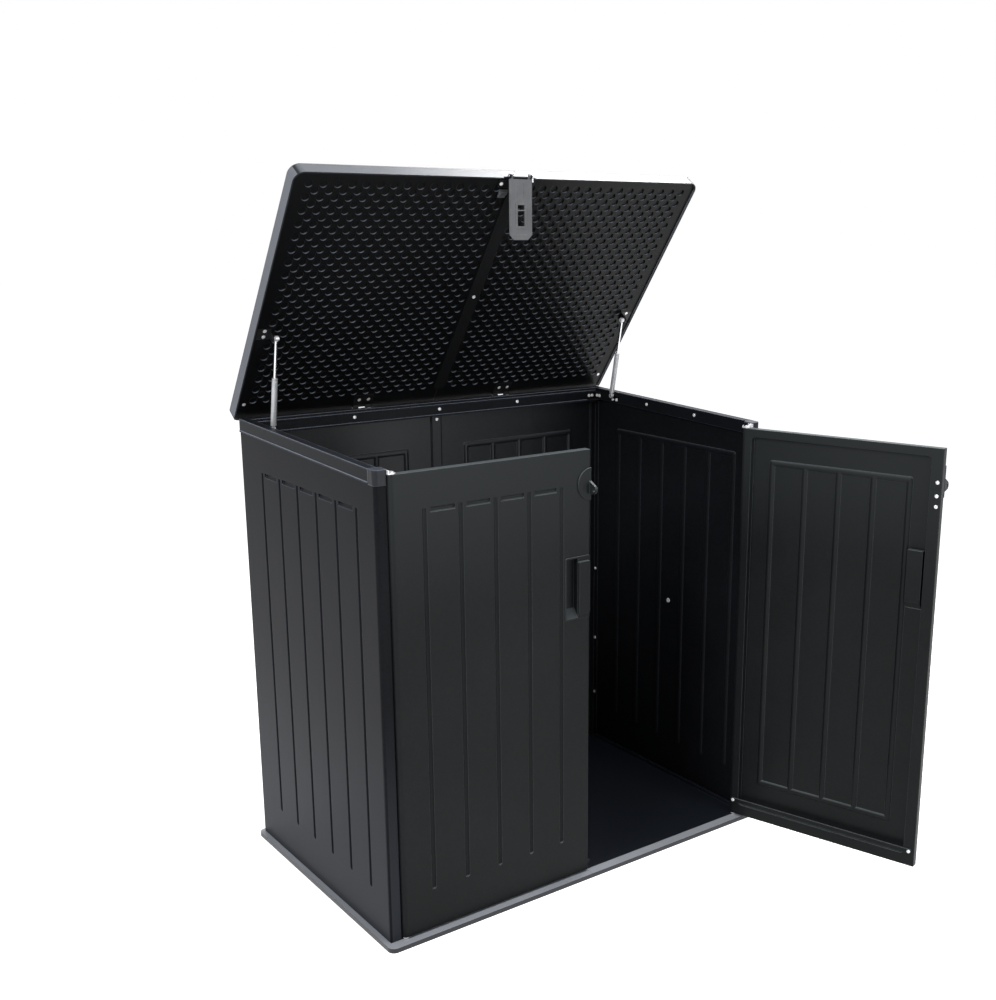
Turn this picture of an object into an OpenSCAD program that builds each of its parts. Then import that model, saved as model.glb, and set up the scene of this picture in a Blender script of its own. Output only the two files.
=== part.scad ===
// Garden storage box in moulded resin: floor, walls, two front doors and a
// lifting lid on two gas struts. Millimetres. The front faces -Y, +Z is up and
// the origin is at the centre of the floor's underside.
// It is drawn with the lid fully open, the left door shut and the right door open.

/* [Cabinet] */
// Outside width across the side walls
cab_w = 1310; // [1250:10:1400]
// Outside depth of the walls
cab_d = 800; // [780:5:860]
// Height of the wall rails at the back
back_h = 1317; // [1300:1:1400]
// How much lower the wall rails are at the front
rail_fall = 30; // [10:1:45]
// Thickness of the moulded skins of walls and doors
skin_t = 4; // [3:0.5:5]

/* [Floor] */
// Thickness of the floor panels
floor_t = 13; // [10:1:20]
// How far the floor stands out past the side and rear walls
floor_lip = 16; // [12:1:30]
// How far the floor stands out in front of the posts
floor_front = 32; // [26:1:40]
// Radius of the floor's outer corners
floor_corner_r = 20; // [10:1:30]
// Thickness of the floor's deck above its underside ribs
deck_t = 4; // [3:0.5:6]
// Height of the upstand that locates the walls
upstand_h = 12; // [6:1:20]
// Width of the door stop tab
stop_w = 52; // [30:2:80]
// Height of the door stop tab above the deck
stop_h = 20; // [10:1:30]

/* [Wall grooves] */
// Radius of the pressed groove's round section
groove_r = 7; // [5:0.5:9]
// Depth of the pressed grooves
groove_depth = 5; // [3:0.5:6]
// Height at which the grooves end at the bottom
groove_foot = 140; // [100:5:200]
// Distance from the front rail height down to the grooves' top ends
groove_drop = 114; // [90:1:200]
// Number of grooves on a side wall
side_grooves = 6; // [3:1:7]
// Width of a side wall outside its row of grooves
side_margin = 238; // [230:1:300]
// How far the row of side grooves lies in front of the wall's middle
side_shift = 19; // [0:1:30]
// Number of grooves on a rear panel or a door
panel_grooves = 5; // [3:1:5]
// Distance from the last door groove to the door's hinge edge
groove_edge = 96; // [80:1:110]
// Distance from the centre line to the nearest door groove
door_first = 98; // [97:1:108]

/* [Posts and rails] */
// Width of the front posts
post_w = 33.5; // [30:0.5:45]
// Depth of the front posts
post_d = 30; // [24:1:36]
// Wall of the posts
post_wall = 3; // [2:0.5:4]
// Radius of the posts' outer corner
post_r = 10; // [6:1:14]
// Width of the side rails
rail_w = 24; // [22:1:30]
// Height of the side rails
rail_h = 38; // [30:1:50]
// Wall of the rails' channel
rail_wall = 3; // [2:0.5:4]
// How far the rails stand out past the walls
rail_proud = 2; // [1:0.5:4]
// Height of the rear beam
beam_h = 46; // [40:1:60]
// Depth of the rear beam inside the rear wall
beam_d = 29; // [26:1:40]
// Thickness of the rear beam's top
beam_top = 6; // [5:0.5:8]
// Leg of the rear corner strips
strip_leg = 22; // [16:1:24]
// Width of the rear joint strip
joint_w = 40; // [30:1:60]
// Leg of the rear gussets
gusset_leg = 34; // [24:1:40]

/* [Doors] */
// Thickness of the doors
door_t = 24; // [20:1:28]
// Gap between a door and its post, and half the gap between the doors
door_gap = 1.5; // [1:0.25:2]
// Height of the doors' bottom edge above the floor panel
door_rise = 6; // [4:0.5:8]
// Distance from the front rail height down to the doors' top edge
door_drop = 14; // [12:1:20]
// Width of the doors' side rims
rim_side = 33; // [28:1:45]
// Height of the doors' top rim
rim_top = 24; // [20:1:40]
// Height of the doors' bottom rim
rim_foot = 34; // [30:1:50]
// Radius of the corners inside the rims
rim_r = 12; // [6:1:20]
// How far the door pivots lie behind the walls' front faces
pivot_back = 2; // [0:0.5:3]
// Angle to which the right door stands open
door_open = 107; // [60:1:109]
// Radius of the top pivot pins
top_pin_r = 4; // [3:0.5:5]
// Radius of the bottom pivot pins
foot_pin_r = 5; // [4:0.5:6]
// Running clearance round pins and studs
run_gap = 0.1; // [0.05:0.01:0.1]

/* [Pulls and lock] */
// Distance from the front rail height down to the middle of the pulls
pull_drop = 398; // [320:1:600]
// Height of the pull's plate
pull_h = 180; // [170:1:220]
// Width of the pull's plate
pull_w = 82; // [80:0.5:83]
// Depth of the finger pocket
pocket_depth = 17; // [12:1:19]
// Distance from the front rail height down to the middle of the lock plates
lock_drop = 109; // [95:1:130]
// Radius of the lock plates
lock_r = 45; // [35:1:55]
// Thickness of the lock plates
lock_t = 4; // [3:0.5:5]
// Thickness of one padlock lug
lug_t = 6.5; // [5:0.5:7]
// Radius of the padlock hole
padlock_r = 4.5; // [4:0.25:5]

/* [Lid] */
// How far the lid stands out past each side wall
lid_side = 18.5; // [16:0.5:30]
// How far the lid stands out past the walls' front
lid_over = 20; // [14:1:40]
// Reach of the lid behind its hinge
lid_tail = 12; // [10:1:16]
// Thickness of the lid from its underside to its top
lid_t = 30; // [26:1:40]
// How far the lid's lip hangs below its underside
lid_lip = 6; // [4:0.5:9]
// Thickness of the lid's outer shell
shell_t = 4; // [3:0.5:5]
// Thickness of the dimpled liner
liner_t = 6; // [5:0.5:8]
// Radius of the lid's front corners
lid_r = 30; // [15:1:40]
// Angle of the open lid above level
lid_open = 54.15; // [30:0.05:60]

/* [Dimples] */
// Distance between dimples along a row
dimple_pitch = 40.5; // [36:0.5:60]
// Radius of a dimple
dimple_r = 11.5; // [8:0.25:12]
// Depth of a dimple
dimple_depth = 4; // [2:0.5:5]
// Plain border at the lid's sides
border_side = 50; // [46:1:70]
// Plain border at the lid's front
border_front = 26; // [20:1:60]
// Plain border at the lid's back
border_back = 58; // [54:1:80]
// Plain border beside the lid's seam
border_seam = 32; // [28:1:50]

/* [Lid hinges] */
// Distance of the lid hinges from the centre line
hinge_x = 258; // [200:1:400]
// Distance of the hinge axis behind the rear wall
hinge_back = 8; // [7:0.5:10]
// Height of the hinge axis above the lid's underside
hinge_drop = 4; // [3.5:0.25:5]
// Width of a hinge
hinge_w = 60; // [50:1:90]
// Radius of the hinge knuckles
knuckle_r = 5; // [4.5:0.25:5.5]
// Radius of the hinge pins
hinge_pin_r = 2.5; // [2:0.25:3]
// Thickness of sheet metal leaves and plates
leaf_t = 2.5; // [2:0.25:2.5]
// Length of a hinge leaf on the lid or the beam
leaf_len = 38; // [30:1:42]
// Gap between the shut lid and what it rests on
seat_gap = 0.7; // [0.5:0.1:1]

/* [Gas struts] */
// Distance of the struts' middle inside the side rails
strut_in = 18; // [17:0.5:21]
// Distance of the lid stud from the hinge, along the lid
stud_reach = 308; // [300:1:316]
// Depth of the lid stud below the hinge axis, square to the lid
stud_drop = 24; // [22:0.5:26]
// Distance of the wall stud in front of the hinge
wall_stud_y = 148; // [144:1:152]
// Depth of the wall stud below the hinge axis
wall_stud_z = 22; // [20:0.5:24]
// Radius of a strut's tube
tube_r = 8; // [7:0.25:8.5]
// Wall of a strut's tube
tube_wall = 1.2; // [1:0.1:1.5]
// Radius of a strut's rod
rod_r = 4; // [3:0.25:5]
// Radius of a strut's eyes
eye_r = 7.5; // [7:0.25:8]
// Width of a strut's eyes
eye_w = 9; // [8:0.5:10]
// Radius of the studs
stud_r = 4; // [3:0.25:4.5]

/* [Hasp] */
// Width of the hasp plate
hasp_w = 76; // [70:1:100]
// Length of the hasp plate below its rod
hasp_len = 172; // [165:1:200]
// Thickness of the hasp plate
hasp_t = 3; // [2:0.5:4]
// Distance of the hasp rod in front of the lid's edge
hasp_ahead = 6; // [6:0.5:8]
// Depth of the hasp rod below the lid's underside
hasp_below = 5; // [5:0.5:7]
// Radius of the hasp rod
hasp_rod_r = 3; // [2.5:0.25:3.5]
// Width of the hasp's slot
slot_w = 24; // [18:0.5:30]
// Distance from the rod down to the slot's top
slot_top = 77.5; // [74:0.5:80]
// Height of the hasp's slot
slot_h = 57; // [56:0.5:64]
// Distance from the slot's top down to its cross bar
bar_down = 13; // [8:0.5:14]
// Height of the cross bar
bar_h = 3; // [2:0.5:4]

/* [Hidden] */
$fn = 48;

resin = [0.20, 0.21, 0.22];
resin_dark = [0.13, 0.14, 0.15];
zinc = [0.75, 0.76, 0.78];
chrome = [0.85, 0.86, 0.88];
silver = [0.72, 0.73, 0.74];
hasp_grey = [0.44, 0.45, 0.47];
bracket_black = [0.11, 0.11, 0.12];

front_h = back_h - rail_fall;
half_w = cab_w / 2;
half_d = cab_d / 2;
tall = back_h + 10;
slope = atan(rail_fall / cab_d);
function rail_top(y) = front_h + (y + half_d) * (back_h - front_h) / cab_d;

// Insides of the walls, and the frame that carries the doors
skin_in = half_w - skin_t;
post_in = half_w - post_w;
rail_in = half_w + rail_proud - rail_w;
beam_front = half_d - beam_d;
beam_z = rail_top(beam_front);
door_edge = post_in - door_gap;
strut_x = rail_in - strut_in;
door_mid_y = -half_d + pivot_back;
door_front = door_mid_y - door_t / 2;
door_back = door_mid_y + door_t / 2;
door_x = door_edge - door_t / 2;
door_z0 = floor_t + door_rise;
door_z1 = front_h - door_drop;
meet_x = door_gap / 2;
groove_head = front_h - groove_drop;
side_pitch = (cab_d - side_margin) / (side_grooves - 1);
panel_pitch = (door_edge - door_first - groove_edge) / (panel_grooves - 1);
pull_z = front_h - pull_drop;
lock_z = front_h - lock_drop;

// Lid hinge axis, set so that the shut lid lies a seat gap above the rails
hinge_y = half_d + hinge_back;
hinge_z = back_h + seat_gap + hinge_drop / cos(slope) + hinge_back * tan(slope);
lid_reach = cab_d + hinge_back + lid_over;
lid_half = half_w + lid_side;
under = -hinge_drop;
roof = under + lid_t;

// Turns a point of the lid's own frame into the cabinet's frame at a given angle
function lid_point(y, z, angle) =
    [hinge_y + y * cos(angle) + z * sin(angle), hinge_z - y * sin(angle) + z * cos(angle)];
stud_open = lid_point(-stud_reach, -stud_drop, lid_open);
stud_shut = lid_point(-stud_reach, -stud_drop, -slope);
wall_stud = [hinge_y - wall_stud_y, hinge_z - wall_stud_z];
strut_long = norm(stud_open - wall_stud);
strut_short = norm(stud_shut - wall_stud);
strut_lean = atan2(stud_open[1] - wall_stud[1], stud_open[0] - wall_stud[0]);
rod_left_out = 10;
tube_top = strut_short - rod_left_out;
tube_foot = 10;
guide_len = 10;
piston_t = 5;
piston_back = 2;
rod_len = strut_long - (tube_top - guide_len - piston_back - piston_t);

// Hasp rod in the lid's frame, and where it lies when the lid is shut
hasp_y = -lid_reach - hasp_ahead;
hasp_z = under - hasp_below;
hasp_open = lid_point(hasp_y, hasp_z, lid_open);
hasp_shut = lid_point(hasp_y, hasp_z, -slope);
window_top = slot_top + bar_down + bar_h;
window_end = slot_top + slot_h;
lug_mid_z = hasp_shut[1] - (window_top + window_end) / 2;
lug_root_y = door_front - lock_t;
lug_tip_y = hasp_shut[0] - hasp_t / 2 - 16;

// Screw heads, and the clearance of pieces that are let into each other
screw_r = 5.5;
small_screw_r = 4;
screw_h = 3;
flush_h = 0.4;
ease = 0.3;

// A box between two corners
module block(a, b) {
    translate(a) cube(b - a);
}

// A prism along X, from a side view outline of [y, z] points
module side_prism(x0, x1, pts) {
    translate([x0, 0, 0]) rotate([90, 0, 90]) linear_extrude(x1 - x0) polygon(pts);
}

// A band of constant height under the sloping rail line, seen from the side
function slope_band(y0, y1, top_drop, foot_drop) = [
    [y0, rail_top(y0) - foot_drop], [y1, rail_top(y1) - foot_drop],
    [y1, rail_top(y1) - top_drop], [y0, rail_top(y0) - top_drop]
];

// What is outside a rounded corner: p is the corner, sx and sy point into the stock
module corner_waste(p, r, sx, sy) {
    translate(p) difference() {
        translate([sx > 0 ? -1 : -r, sy > 0 ? -1 : -r]) square(r + 1);
        translate([sx * r, sy * r]) circle(r);
    }
}

// A flat rectangle with its own radius at each corner, in order SW, SE, NE, NW
module round_rect(a, b, radii) {
    difference() {
        translate(a) square(b - a);
        if (radii[0] > 0) corner_waste(a, radii[0], 1, 1);
        if (radii[1] > 0) corner_waste([b[0], a[1]], radii[1], -1, 1);
        if (radii[2] > 0) corner_waste(b, radii[2], -1, -1);
        if (radii[3] > 0) corner_waste([a[0], b[1]], radii[3], 1, -1);
    }
}

// A rounded bar between two heights: r is its radius
module upright(r, z0, z1) {
    translate([0, 0, z0]) cylinder(r = r, h = z1 - z0);
    translate([0, 0, z0]) sphere(r);
    translate([0, 0, z1]) sphere(r);
}

// A pan head screw whose seat is at the origin and whose head points along +Z
module screw_head(r = screw_r) {
    cylinder(r1 = r, r2 = r * 0.7, h = screw_h);
}

// A countersunk head, all but flush, in the way of nothing that shuts over it
module flush_head() {
    cylinder(r = screw_r, h = flush_h);
}

// Places children at p with their +Z turned along a named direction
module facing(p, way) {
    turn = way == "x" ? [0, 90, 0] : way == "-x" ? [0, -90, 0]
         : way == "y" ? [-90, 0, 0] : way == "-y" ? [90, 0, 0]
         : way == "-z" ? [180, 0, 0] : [0, 0, 0];
    translate(p) rotate(turn) children();
}

// A panel with pressed grooves, standing in the XZ plane: its outer face is at
// y = 0, it is skin_t thick towards +Y, and xs holds the grooves' places. The
// outline is given as children, and rails holds the heights of level grooves.
module pressed_panel(xs, z0, z1, rails) {
    centre = groove_depth - groove_r;
    rib_r = groove_r + skin_t;
    difference() {
        union() {
            rotate([90, 0, 0]) translate([0, 0, -skin_t]) linear_extrude(skin_t) children();
            intersection() {
                union() {
                    for (x = xs) translate([x, centre, 0]) upright(rib_r, z0, z1);
                    for (z = rails) translate([xs[0], centre, z]) rotate([0, 90, 0])
                        cylinder(r = rib_r, h = xs[len(xs) - 1] - xs[0]);
                }
                block([xs[0] - 50, 0, z0 - 50], [xs[len(xs) - 1] + 50, 50, z1 + 50]);
            }
        }
        for (x = xs) translate([x, centre, 0]) upright(groove_r, z0, z1);
        for (z = rails) for (i = [0 : len(xs) - 2])
            translate([xs[i] + 2.4 * groove_r, centre, z]) rotate([0, 90, 0])
                cylinder(r = groove_r, h = xs[i + 1] - xs[i] - 4.8 * groove_r);
    }
}

side_ys = [for (i = [0 : side_grooves - 1]) (i - (side_grooves - 1) / 2) * side_pitch - side_shift];
panel_xs = [for (i = [0 : panel_grooves - 1]) i * panel_pitch];

/* Floor */

// The left floor panel: a ribbed tray with an upstand behind the walls
module floor_panel() {
    out_x = half_w + floor_lip;
    out_y = half_d + floor_lip;
    cell_x = (post_in - 60) / 4;
    cell_y = (cab_d - 100) / 4;
    rib_gap = 12;
    up_out = skin_in - 9;
    up_in = up_out - 8;
    difference() {
        union() {
            linear_extrude(floor_t) round_rect([-out_x, -half_d - floor_front], [0, out_y],
                [floor_corner_r, 0, 0, floor_corner_r]);
            block([-up_out, -half_d + post_d + 5, floor_t - 1],
                [-up_in, half_d - 40, floor_t + upstand_h]);
            block([-skin_in + 36, half_d - 24, floor_t - 1], [0, half_d - 16, floor_t + upstand_h]);
        }
        for (i = [0 : 3]) for (j = [0 : 3])
            block([-20 - (i + 1) * cell_x + rib_gap, -half_d + 50 + j * cell_y, -1],
                [-20 - i * cell_x, -half_d + 50 + (j + 1) * cell_y - rib_gap, floor_t - deck_t]);
        translate([-door_x, door_mid_y, floor_t - 8]) cylinder(r = foot_pin_r + run_gap, h = 20);
    }
}

module floor_left() color(resin_dark) floor_panel();
module floor_right() color(resin_dark) mirror([1, 0, 0]) floor_panel();

module door_stop() color(resin_dark) {
    y0 = door_back + 1.5;
    rotate([90, 0, 0]) translate([0, 0, -y0 - 12]) linear_extrude(12)
        round_rect([-stop_w / 2, floor_t], [stop_w / 2, floor_t + stop_h], [0, 0, 5, 5]);
}

/* Walls */

function wall_profile(drop) = [
    [-half_d, floor_t], [half_d, floor_t],
    [half_d, rail_top(half_d) - drop], [-half_d, rail_top(-half_d) - drop]
];

// Plan outline of the left front post, grown outwards by g on its outer faces
module post_plan(g) {
    round_rect([-half_w - g, -half_d - g], [-post_in, -half_d + post_d],
        [post_r + g, post_wall + 1, 0, 0]);
}

// The left side wall: grooved skin, box post at the front, flange at the back
module side_wall() {
    intersection() {
        side_prism(-half_w - 1, -post_in + 1, wall_profile(rail_wall));
        union() {
            linear_extrude(tall) difference() {
                post_plan(0);
                round_rect([-half_w + post_wall, -half_d + post_wall],
                    [-post_in - post_wall, -half_d + post_d - post_wall],
                    [post_r - post_wall, 1, 1, 1]);
            }
            linear_extrude(beam_z - beam_h - 4) translate([-skin_in - 1, half_d - 8]) square([27, 4]);
            translate([-half_w, 0, 0]) rotate([0, 0, 90]) mirror([0, 1, 0])
                pressed_panel(side_ys, groove_foot, groove_head, [groove_head])
                    translate([-half_d + post_d - 1, 0]) square([cab_d - post_d + 1, tall]);
        }
    }
}

module left_wall() color(resin) side_wall();
module right_wall() color(resin) mirror([1, 0, 0]) side_wall();

// The left rear panel, between the side wall and the joint strip
module rear_panel() {
    far = skin_in;
    first = (far - (panel_grooves - 1) * panel_pitch) / 2;
    translate([0, half_d, 0]) mirror([0, 1, 0]) translate([-far + first, 0, 0])
        pressed_panel(panel_xs, groove_foot, groove_head - 10, [groove_foot, groove_head - 10])
            translate([-first, floor_t]) square([far - 0.5, beam_z - beam_top - floor_t]);
}

module rear_wall_left() color(resin) rear_panel();
module rear_wall_right() color(resin) mirror([1, 0, 0]) rear_panel();

// Strip of H section that joins the two rear panels
module rear_joint_strip() color(resin) {
    y1 = half_d - skin_t;
    w = joint_w / 2;
    translate([0, 0, floor_t]) linear_extrude(beam_z - beam_h - floor_t) {
        polygon([[-w, y1], [-w, y1 - 2], [-w + 5, y1 - 6], [w - 5, y1 - 6], [w, y1 - 2], [w, y1]]);
        translate([-0.5, y1 - 1]) square([1, skin_t + 2]);
        translate([-w, half_d]) square([joint_w, 2]);
    }
}

module rear_top_beam() color(resin) {
    z0 = beam_z - beam_h;
    difference() {
        block([-rail_in, beam_front, z0], [rail_in, half_d + rail_proud, beam_z]);
        block([-rail_in - 1, beam_front + rail_wall, z0 - 1], [rail_in + 1, half_d, beam_z - beam_top]);
        for (s = [-1, 1]) translate([s * hinge_x, 0, 0])
            block([-hinge_w / 2 - ease, half_d - fixed_len - ease, beam_z - leaf_t],
                [hinge_w / 2 + ease, half_d + 20, beam_z + 1]);
    }
    for (z = [z0 + 4, beam_z - beam_top - 5])
        translate([-rail_in, beam_front, z]) rotate([0, 90, 0]) cylinder(r = 2, h = 2 * rail_in);
}

// The left side rail: a channel over the wall, with a bead along each edge
module side_rail() {
    x0 = -half_w - rail_proud;
    y0 = -half_d + post_d;
    side_prism(x0, -half_w, slope_band(y0, half_d, 0, rail_h));
    side_prism(x0, -rail_in, slope_band(y0, half_d, 0, rail_wall));
    side_prism(-rail_in - rail_wall, -rail_in, slope_band(y0, beam_front, 0, rail_h));
    side_prism(x0 - 1.5, -half_w, slope_band(y0, half_d, rail_h - 4, rail_h));
    side_prism(x0 - 1, -half_w, slope_band(y0, half_d, 0, 3));
}

module left_top_rail() color(resin) side_rail();
module right_top_rail() color(resin) mirror([1, 0, 0]) side_rail();

// The left front corner cap: a rounded cap over the post
module corner_cap() {
    y0 = -half_d - rail_proud;
    y1 = -half_d + post_d;
    intersection() {
        side_prism(-half_w - 10, -post_in + 1, slope_band(y0 - 1, y1 + 1, 0, rail_h + 2));
        difference() {
            linear_extrude(tall) post_plan(rail_proud);
            side_prism(-half_w - 10, -post_in + 1,
                [[y0 - 2, 0], [y1 + 2, 0], [y1 + 2, rail_top(y1 + 2) - rail_wall],
                 [-half_d, rail_top(-half_d) - rail_wall], [y0 - 2, rail_top(y0 - 2) - rail_wall]]);
        }
    }
    intersection() {
        side_prism(-half_w - 10, -post_in + 1, slope_band(y0 - 1, y1 + 1, rail_wall, rail_h + 2));
        linear_extrude(tall) difference() {
            post_plan(rail_proud);
            post_plan(0);
        }
    }
}

module left_corner_cap() color(resin) corner_cap();
module right_corner_cap() color(resin) mirror([1, 0, 0]) corner_cap();

gusset_z = beam_z - beam_h + 6;
gusset_h = 26;
gusset_mid = gusset_z + gusset_h / 2 + 1;

// The left rear gusset: two legs on the rail and the beam, and a web
module rear_gusset() {
    z0 = gusset_z;
    z1 = z0 + gusset_h;
    t = 2;
    block([-rail_in, beam_front - gusset_leg, z0], [-rail_in + t, beam_front, z1]);
    block([-rail_in, beam_front - t, z0], [-rail_in + gusset_leg, beam_front, z1]);
    translate([0, 0, z0]) linear_extrude(t) polygon([
        [-rail_in, beam_front], [-rail_in, beam_front - gusset_leg],
        [-rail_in + 8, beam_front - gusset_leg], [-rail_in + gusset_leg, beam_front - 8],
        [-rail_in + gusset_leg, beam_front]]);
}

module left_rear_gusset() color(bracket_black) rear_gusset();
module right_rear_gusset() color(bracket_black) mirror([1, 0, 0]) rear_gusset();

// The left rear corner strip: an angle in the corner of the walls
module corner_strip() {
    y1 = half_d - 8;
    translate([0, 0, floor_t]) linear_extrude(beam_z - beam_h - floor_t - 4) {
        translate([-skin_in, y1 - strip_leg]) square([3, strip_leg]);
        translate([-skin_in, y1 - 3]) square([strip_leg, 3]);
    }
}

module left_corner_strip() color(resin) corner_strip();
module right_corner_strip() color(resin) mirror([1, 0, 0]) corner_strip();

/* Door pivots on the cabinet */

pivot_z = door_z1 + 0.6;

// The left top pivot bracket: a tongue over the door, screwed to the corner cap
module top_pivot() {
    side = 10;
    tab_h = door_drop - 3;
    difference() {
        union() {
            linear_extrude(leaf_t) round_rect([-post_in, door_mid_y - side],
                [-door_x + side + 1, door_mid_y + side], [0, side - 1, side - 1, 0]);
            block([-post_in, door_mid_y - side, 0], [-post_in + leaf_t, door_mid_y + side, tab_h]);
        }
        translate([-door_x, door_mid_y, -1]) cylinder(r = top_pin_r + run_gap, h = 10);
    }
}

module left_top_pivot() color(zinc) translate([0, 0, pivot_z]) top_pivot();
module right_top_pivot() color(zinc) mirror([1, 0, 0]) translate([0, 0, pivot_z]) top_pivot();

/* Strut mounts, lid hinges and screws on the cabinet */

mount_in = rail_in - leaf_t;
// Gap between the end of a wall stud and the strut's lower eye
eye_clear = 2;

module strut_mount() {
    stud_root = mount_in + 0.5;
    side = 18;
    translate([0, wall_stud[0], wall_stud[1]]) {
        block([-rail_in, -side, -side - 4], [-mount_in, side, stud_r * 2]);
        facing([-stud_root, 0, 0], "x") cylinder(r = stud_r, h = stud_root - strut_x - eye_w / 2 - eye_clear);
        facing([-stud_root, 0, 0], "x") cylinder(r = stud_r + 2, h = 3);
    }
}

module left_strut_mount() color(bracket_black) strut_mount();
module right_strut_mount() color(bracket_black) mirror([1, 0, 0]) strut_mount();

knuckle_split = hinge_w * 0.2;
fixed_len = beam_d - 3;

// One fixed leaf, centred on x = 0: a plate in the beam's pocket and two knuckles
module fixed_leaf() {
    side = hinge_w / 2;
    difference() {
        union() {
            block([-side, half_d - fixed_len, beam_z - leaf_t], [side, half_d, beam_z]);
            for (s = [-1, 1]) {
                x0 = s < 0 ? -side : knuckle_split;
                x1 = s < 0 ? -knuckle_split : side;
                block([x0, half_d - 1, beam_z - leaf_t], [x1, hinge_y, beam_z]);
                block([x0, hinge_y - knuckle_r, beam_z - leaf_t], [x1, hinge_y, hinge_z]);
                facing([x0, hinge_y, hinge_z], "x") cylinder(r = knuckle_r, h = x1 - x0);
            }
        }
        facing([-side - 1, hinge_y, hinge_z], "x") cylinder(r = hinge_pin_r, h = hinge_w + 2);
    }
}

module fixed_hinge_leaves() color(bracket_black)
    for (s = [-1, 1]) translate([s * hinge_x, 0, 0]) fixed_leaf();

module lid_hinge_pins() color(chrome)
    for (s = [-1, 1]) facing([s * hinge_x - hinge_w / 2, hinge_y, hinge_z], "x")
        cylinder(r = hinge_pin_r, h = hinge_w);

module cabinet_screws() color(zinc) {
    for (s = [-1, 1]) {
        inner = s > 0 ? "-x" : "x";
        for (y = [-half_d + post_d + 12, -0.17 * cab_d, 0.12 * cab_d])
            facing([s * rail_in, y, rail_top(y) - rail_h / 2], inner) screw_head();
        for (y = [-10, 10]) facing([s * mount_in, wall_stud[0] + y, wall_stud[1] - 15], inner) screw_head();
        for (z = [0.14, 0.3, 0.5]) facing([s * (skin_in - 3), half_d - 18, z * back_h], inner) screw_head();
        for (reach = [14, 27]) {
            facing([s * (rail_in - 2), beam_front - reach, gusset_mid], inner) screw_head();
            facing([s * (rail_in - reach - 2), beam_front - 2, gusset_mid], "-y") screw_head();
        }
        facing([s * (post_in - leaf_t), door_mid_y, pivot_z + door_drop - 7.4], inner)
            screw_head(small_screw_r);
        for (x = [-16, 16]) facing([s * hinge_x + x, half_d - fixed_len / 2, beam_z], "z") flush_head();
    }
    for (x = [-0.23 * cab_w, 0, 0.23 * cab_w])
        facing([x, beam_front, beam_z - beam_h / 2], "-y") screw_head();
    facing([0, half_d - skin_t - 6, beam_z - beam_h - 12], "-y") screw_head();
}

/* Lid */

// Places children, drawn in the lid's own level frame, on the open lid
module on_lid() {
    translate([0, hinge_y, hinge_z]) rotate([-lid_open, 0, 0]) children();
}

// Outline of the left half of the lid, drawn in by g
module lid_plan(g) {
    round_rect([-lid_half + g, -lid_reach + g], [-0.5, lid_tail - g],
        [lid_r - g, 0, 0, lid_r - 10 - g]);
}

// Room for one hinge's knuckles, cut into the lid's rear edge
module knuckle_room() {
    translate([-hinge_x, 0, 0]) block([-hinge_w / 2 - 1, -knuckle_r - 2.5, under - lid_lip - 1],
        [hinge_w / 2 + 1, lid_tail + 1, knuckle_r + 1.5]);
}

// The left outer shell: a tray with a lip, open downwards
module lid_shell() {
    top_r = groove_r - 1.5;
    top_end = 100;
    difference() {
        translate([0, 0, under - lid_lip]) linear_extrude(lid_t + lid_lip) lid_plan(0);
        translate([0, 0, under - lid_lip - 1]) linear_extrude(lid_t + lid_lip + 1 - shell_t)
            round_rect([-lid_half + shell_t, -lid_reach + shell_t], [1, lid_tail - shell_t],
                [lid_r - shell_t, 0, 0, lid_r - 10 - shell_t]);
        block([-lid_half + shell_t, -1, under - lid_lip - 1], [1, lid_tail + 1, under]);
        block([-hasp_w / 2 - 14, -lid_reach - 1, under - lid_lip - 1], [1, -lid_reach + shell_t + 1, under]);
        knuckle_room();
        for (i = [0 : panel_grooves - 1])
            translate([-door_first - i * panel_pitch, -lid_reach + top_end, roof + top_r - groove_depth / 2])
                rotate([-90, 0, 0]) upright(top_r, 0, lid_reach - 2 * top_end);
    }
}

// Rows of dimples, staggered by half a pitch, as a flat pattern
module dimple_field(x0, x1, y0, y1) {
    row = dimple_pitch / 2;
    rows = floor((y1 - y0) / row);
    cols = floor((x1 - x0) / dimple_pitch - 0.5);
    for (j = [0 : rows]) for (i = [0 : cols])
        translate([x0 + (i + (j % 2) / 2) * dimple_pitch, y0 + j * row]) circle(dimple_r, $fn = 16);
}

// The left dimpled liner, which closes the shell from below
module lid_liner() {
    g = shell_t + ease;
    difference() {
        union() {
            translate([0, 0, under]) linear_extrude(dimple_depth) difference() {
                lid_plan(g);
                dimple_field(-lid_half + border_side, -border_seam,
                    -lid_reach + border_front + dimple_r, -border_back);
            }
            translate([0, 0, under + dimple_depth]) linear_extrude(liner_t - dimple_depth) lid_plan(g);
        }
        knuckle_room();
        translate([-hinge_x, 0, 0]) block([-hinge_w / 2 - ease, -knuckle_r - 3 - leaf_len - ease, under - 1],
            [hinge_w / 2 + ease, 0, under + leaf_t + 0.1]);
        stud_pocket(ease, 0.1);
    }
}

stud_ear_out = strut_x + eye_w / 2 + 4 + leaf_t;

// Plan of the left strut plate's flange, let into the liner
module stud_pocket(grow, deep) {
    block([-lid_half + 11 - grow, -stud_reach - 17 - grow, under - 1 + (grow > 0 ? 0 : 1)],
        [-stud_ear_out + leaf_t + grow, -stud_reach + 17 + grow, under + leaf_t + deep]);
}

module lid_left_shell() color(resin) on_lid() lid_shell();
module lid_right_shell() color(resin) on_lid() mirror([1, 0, 0]) lid_shell();
module lid_left_liner() color(resin_dark) on_lid() lid_liner();
module lid_right_liner() color(resin_dark) on_lid() mirror([1, 0, 0]) lid_liner();

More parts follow.
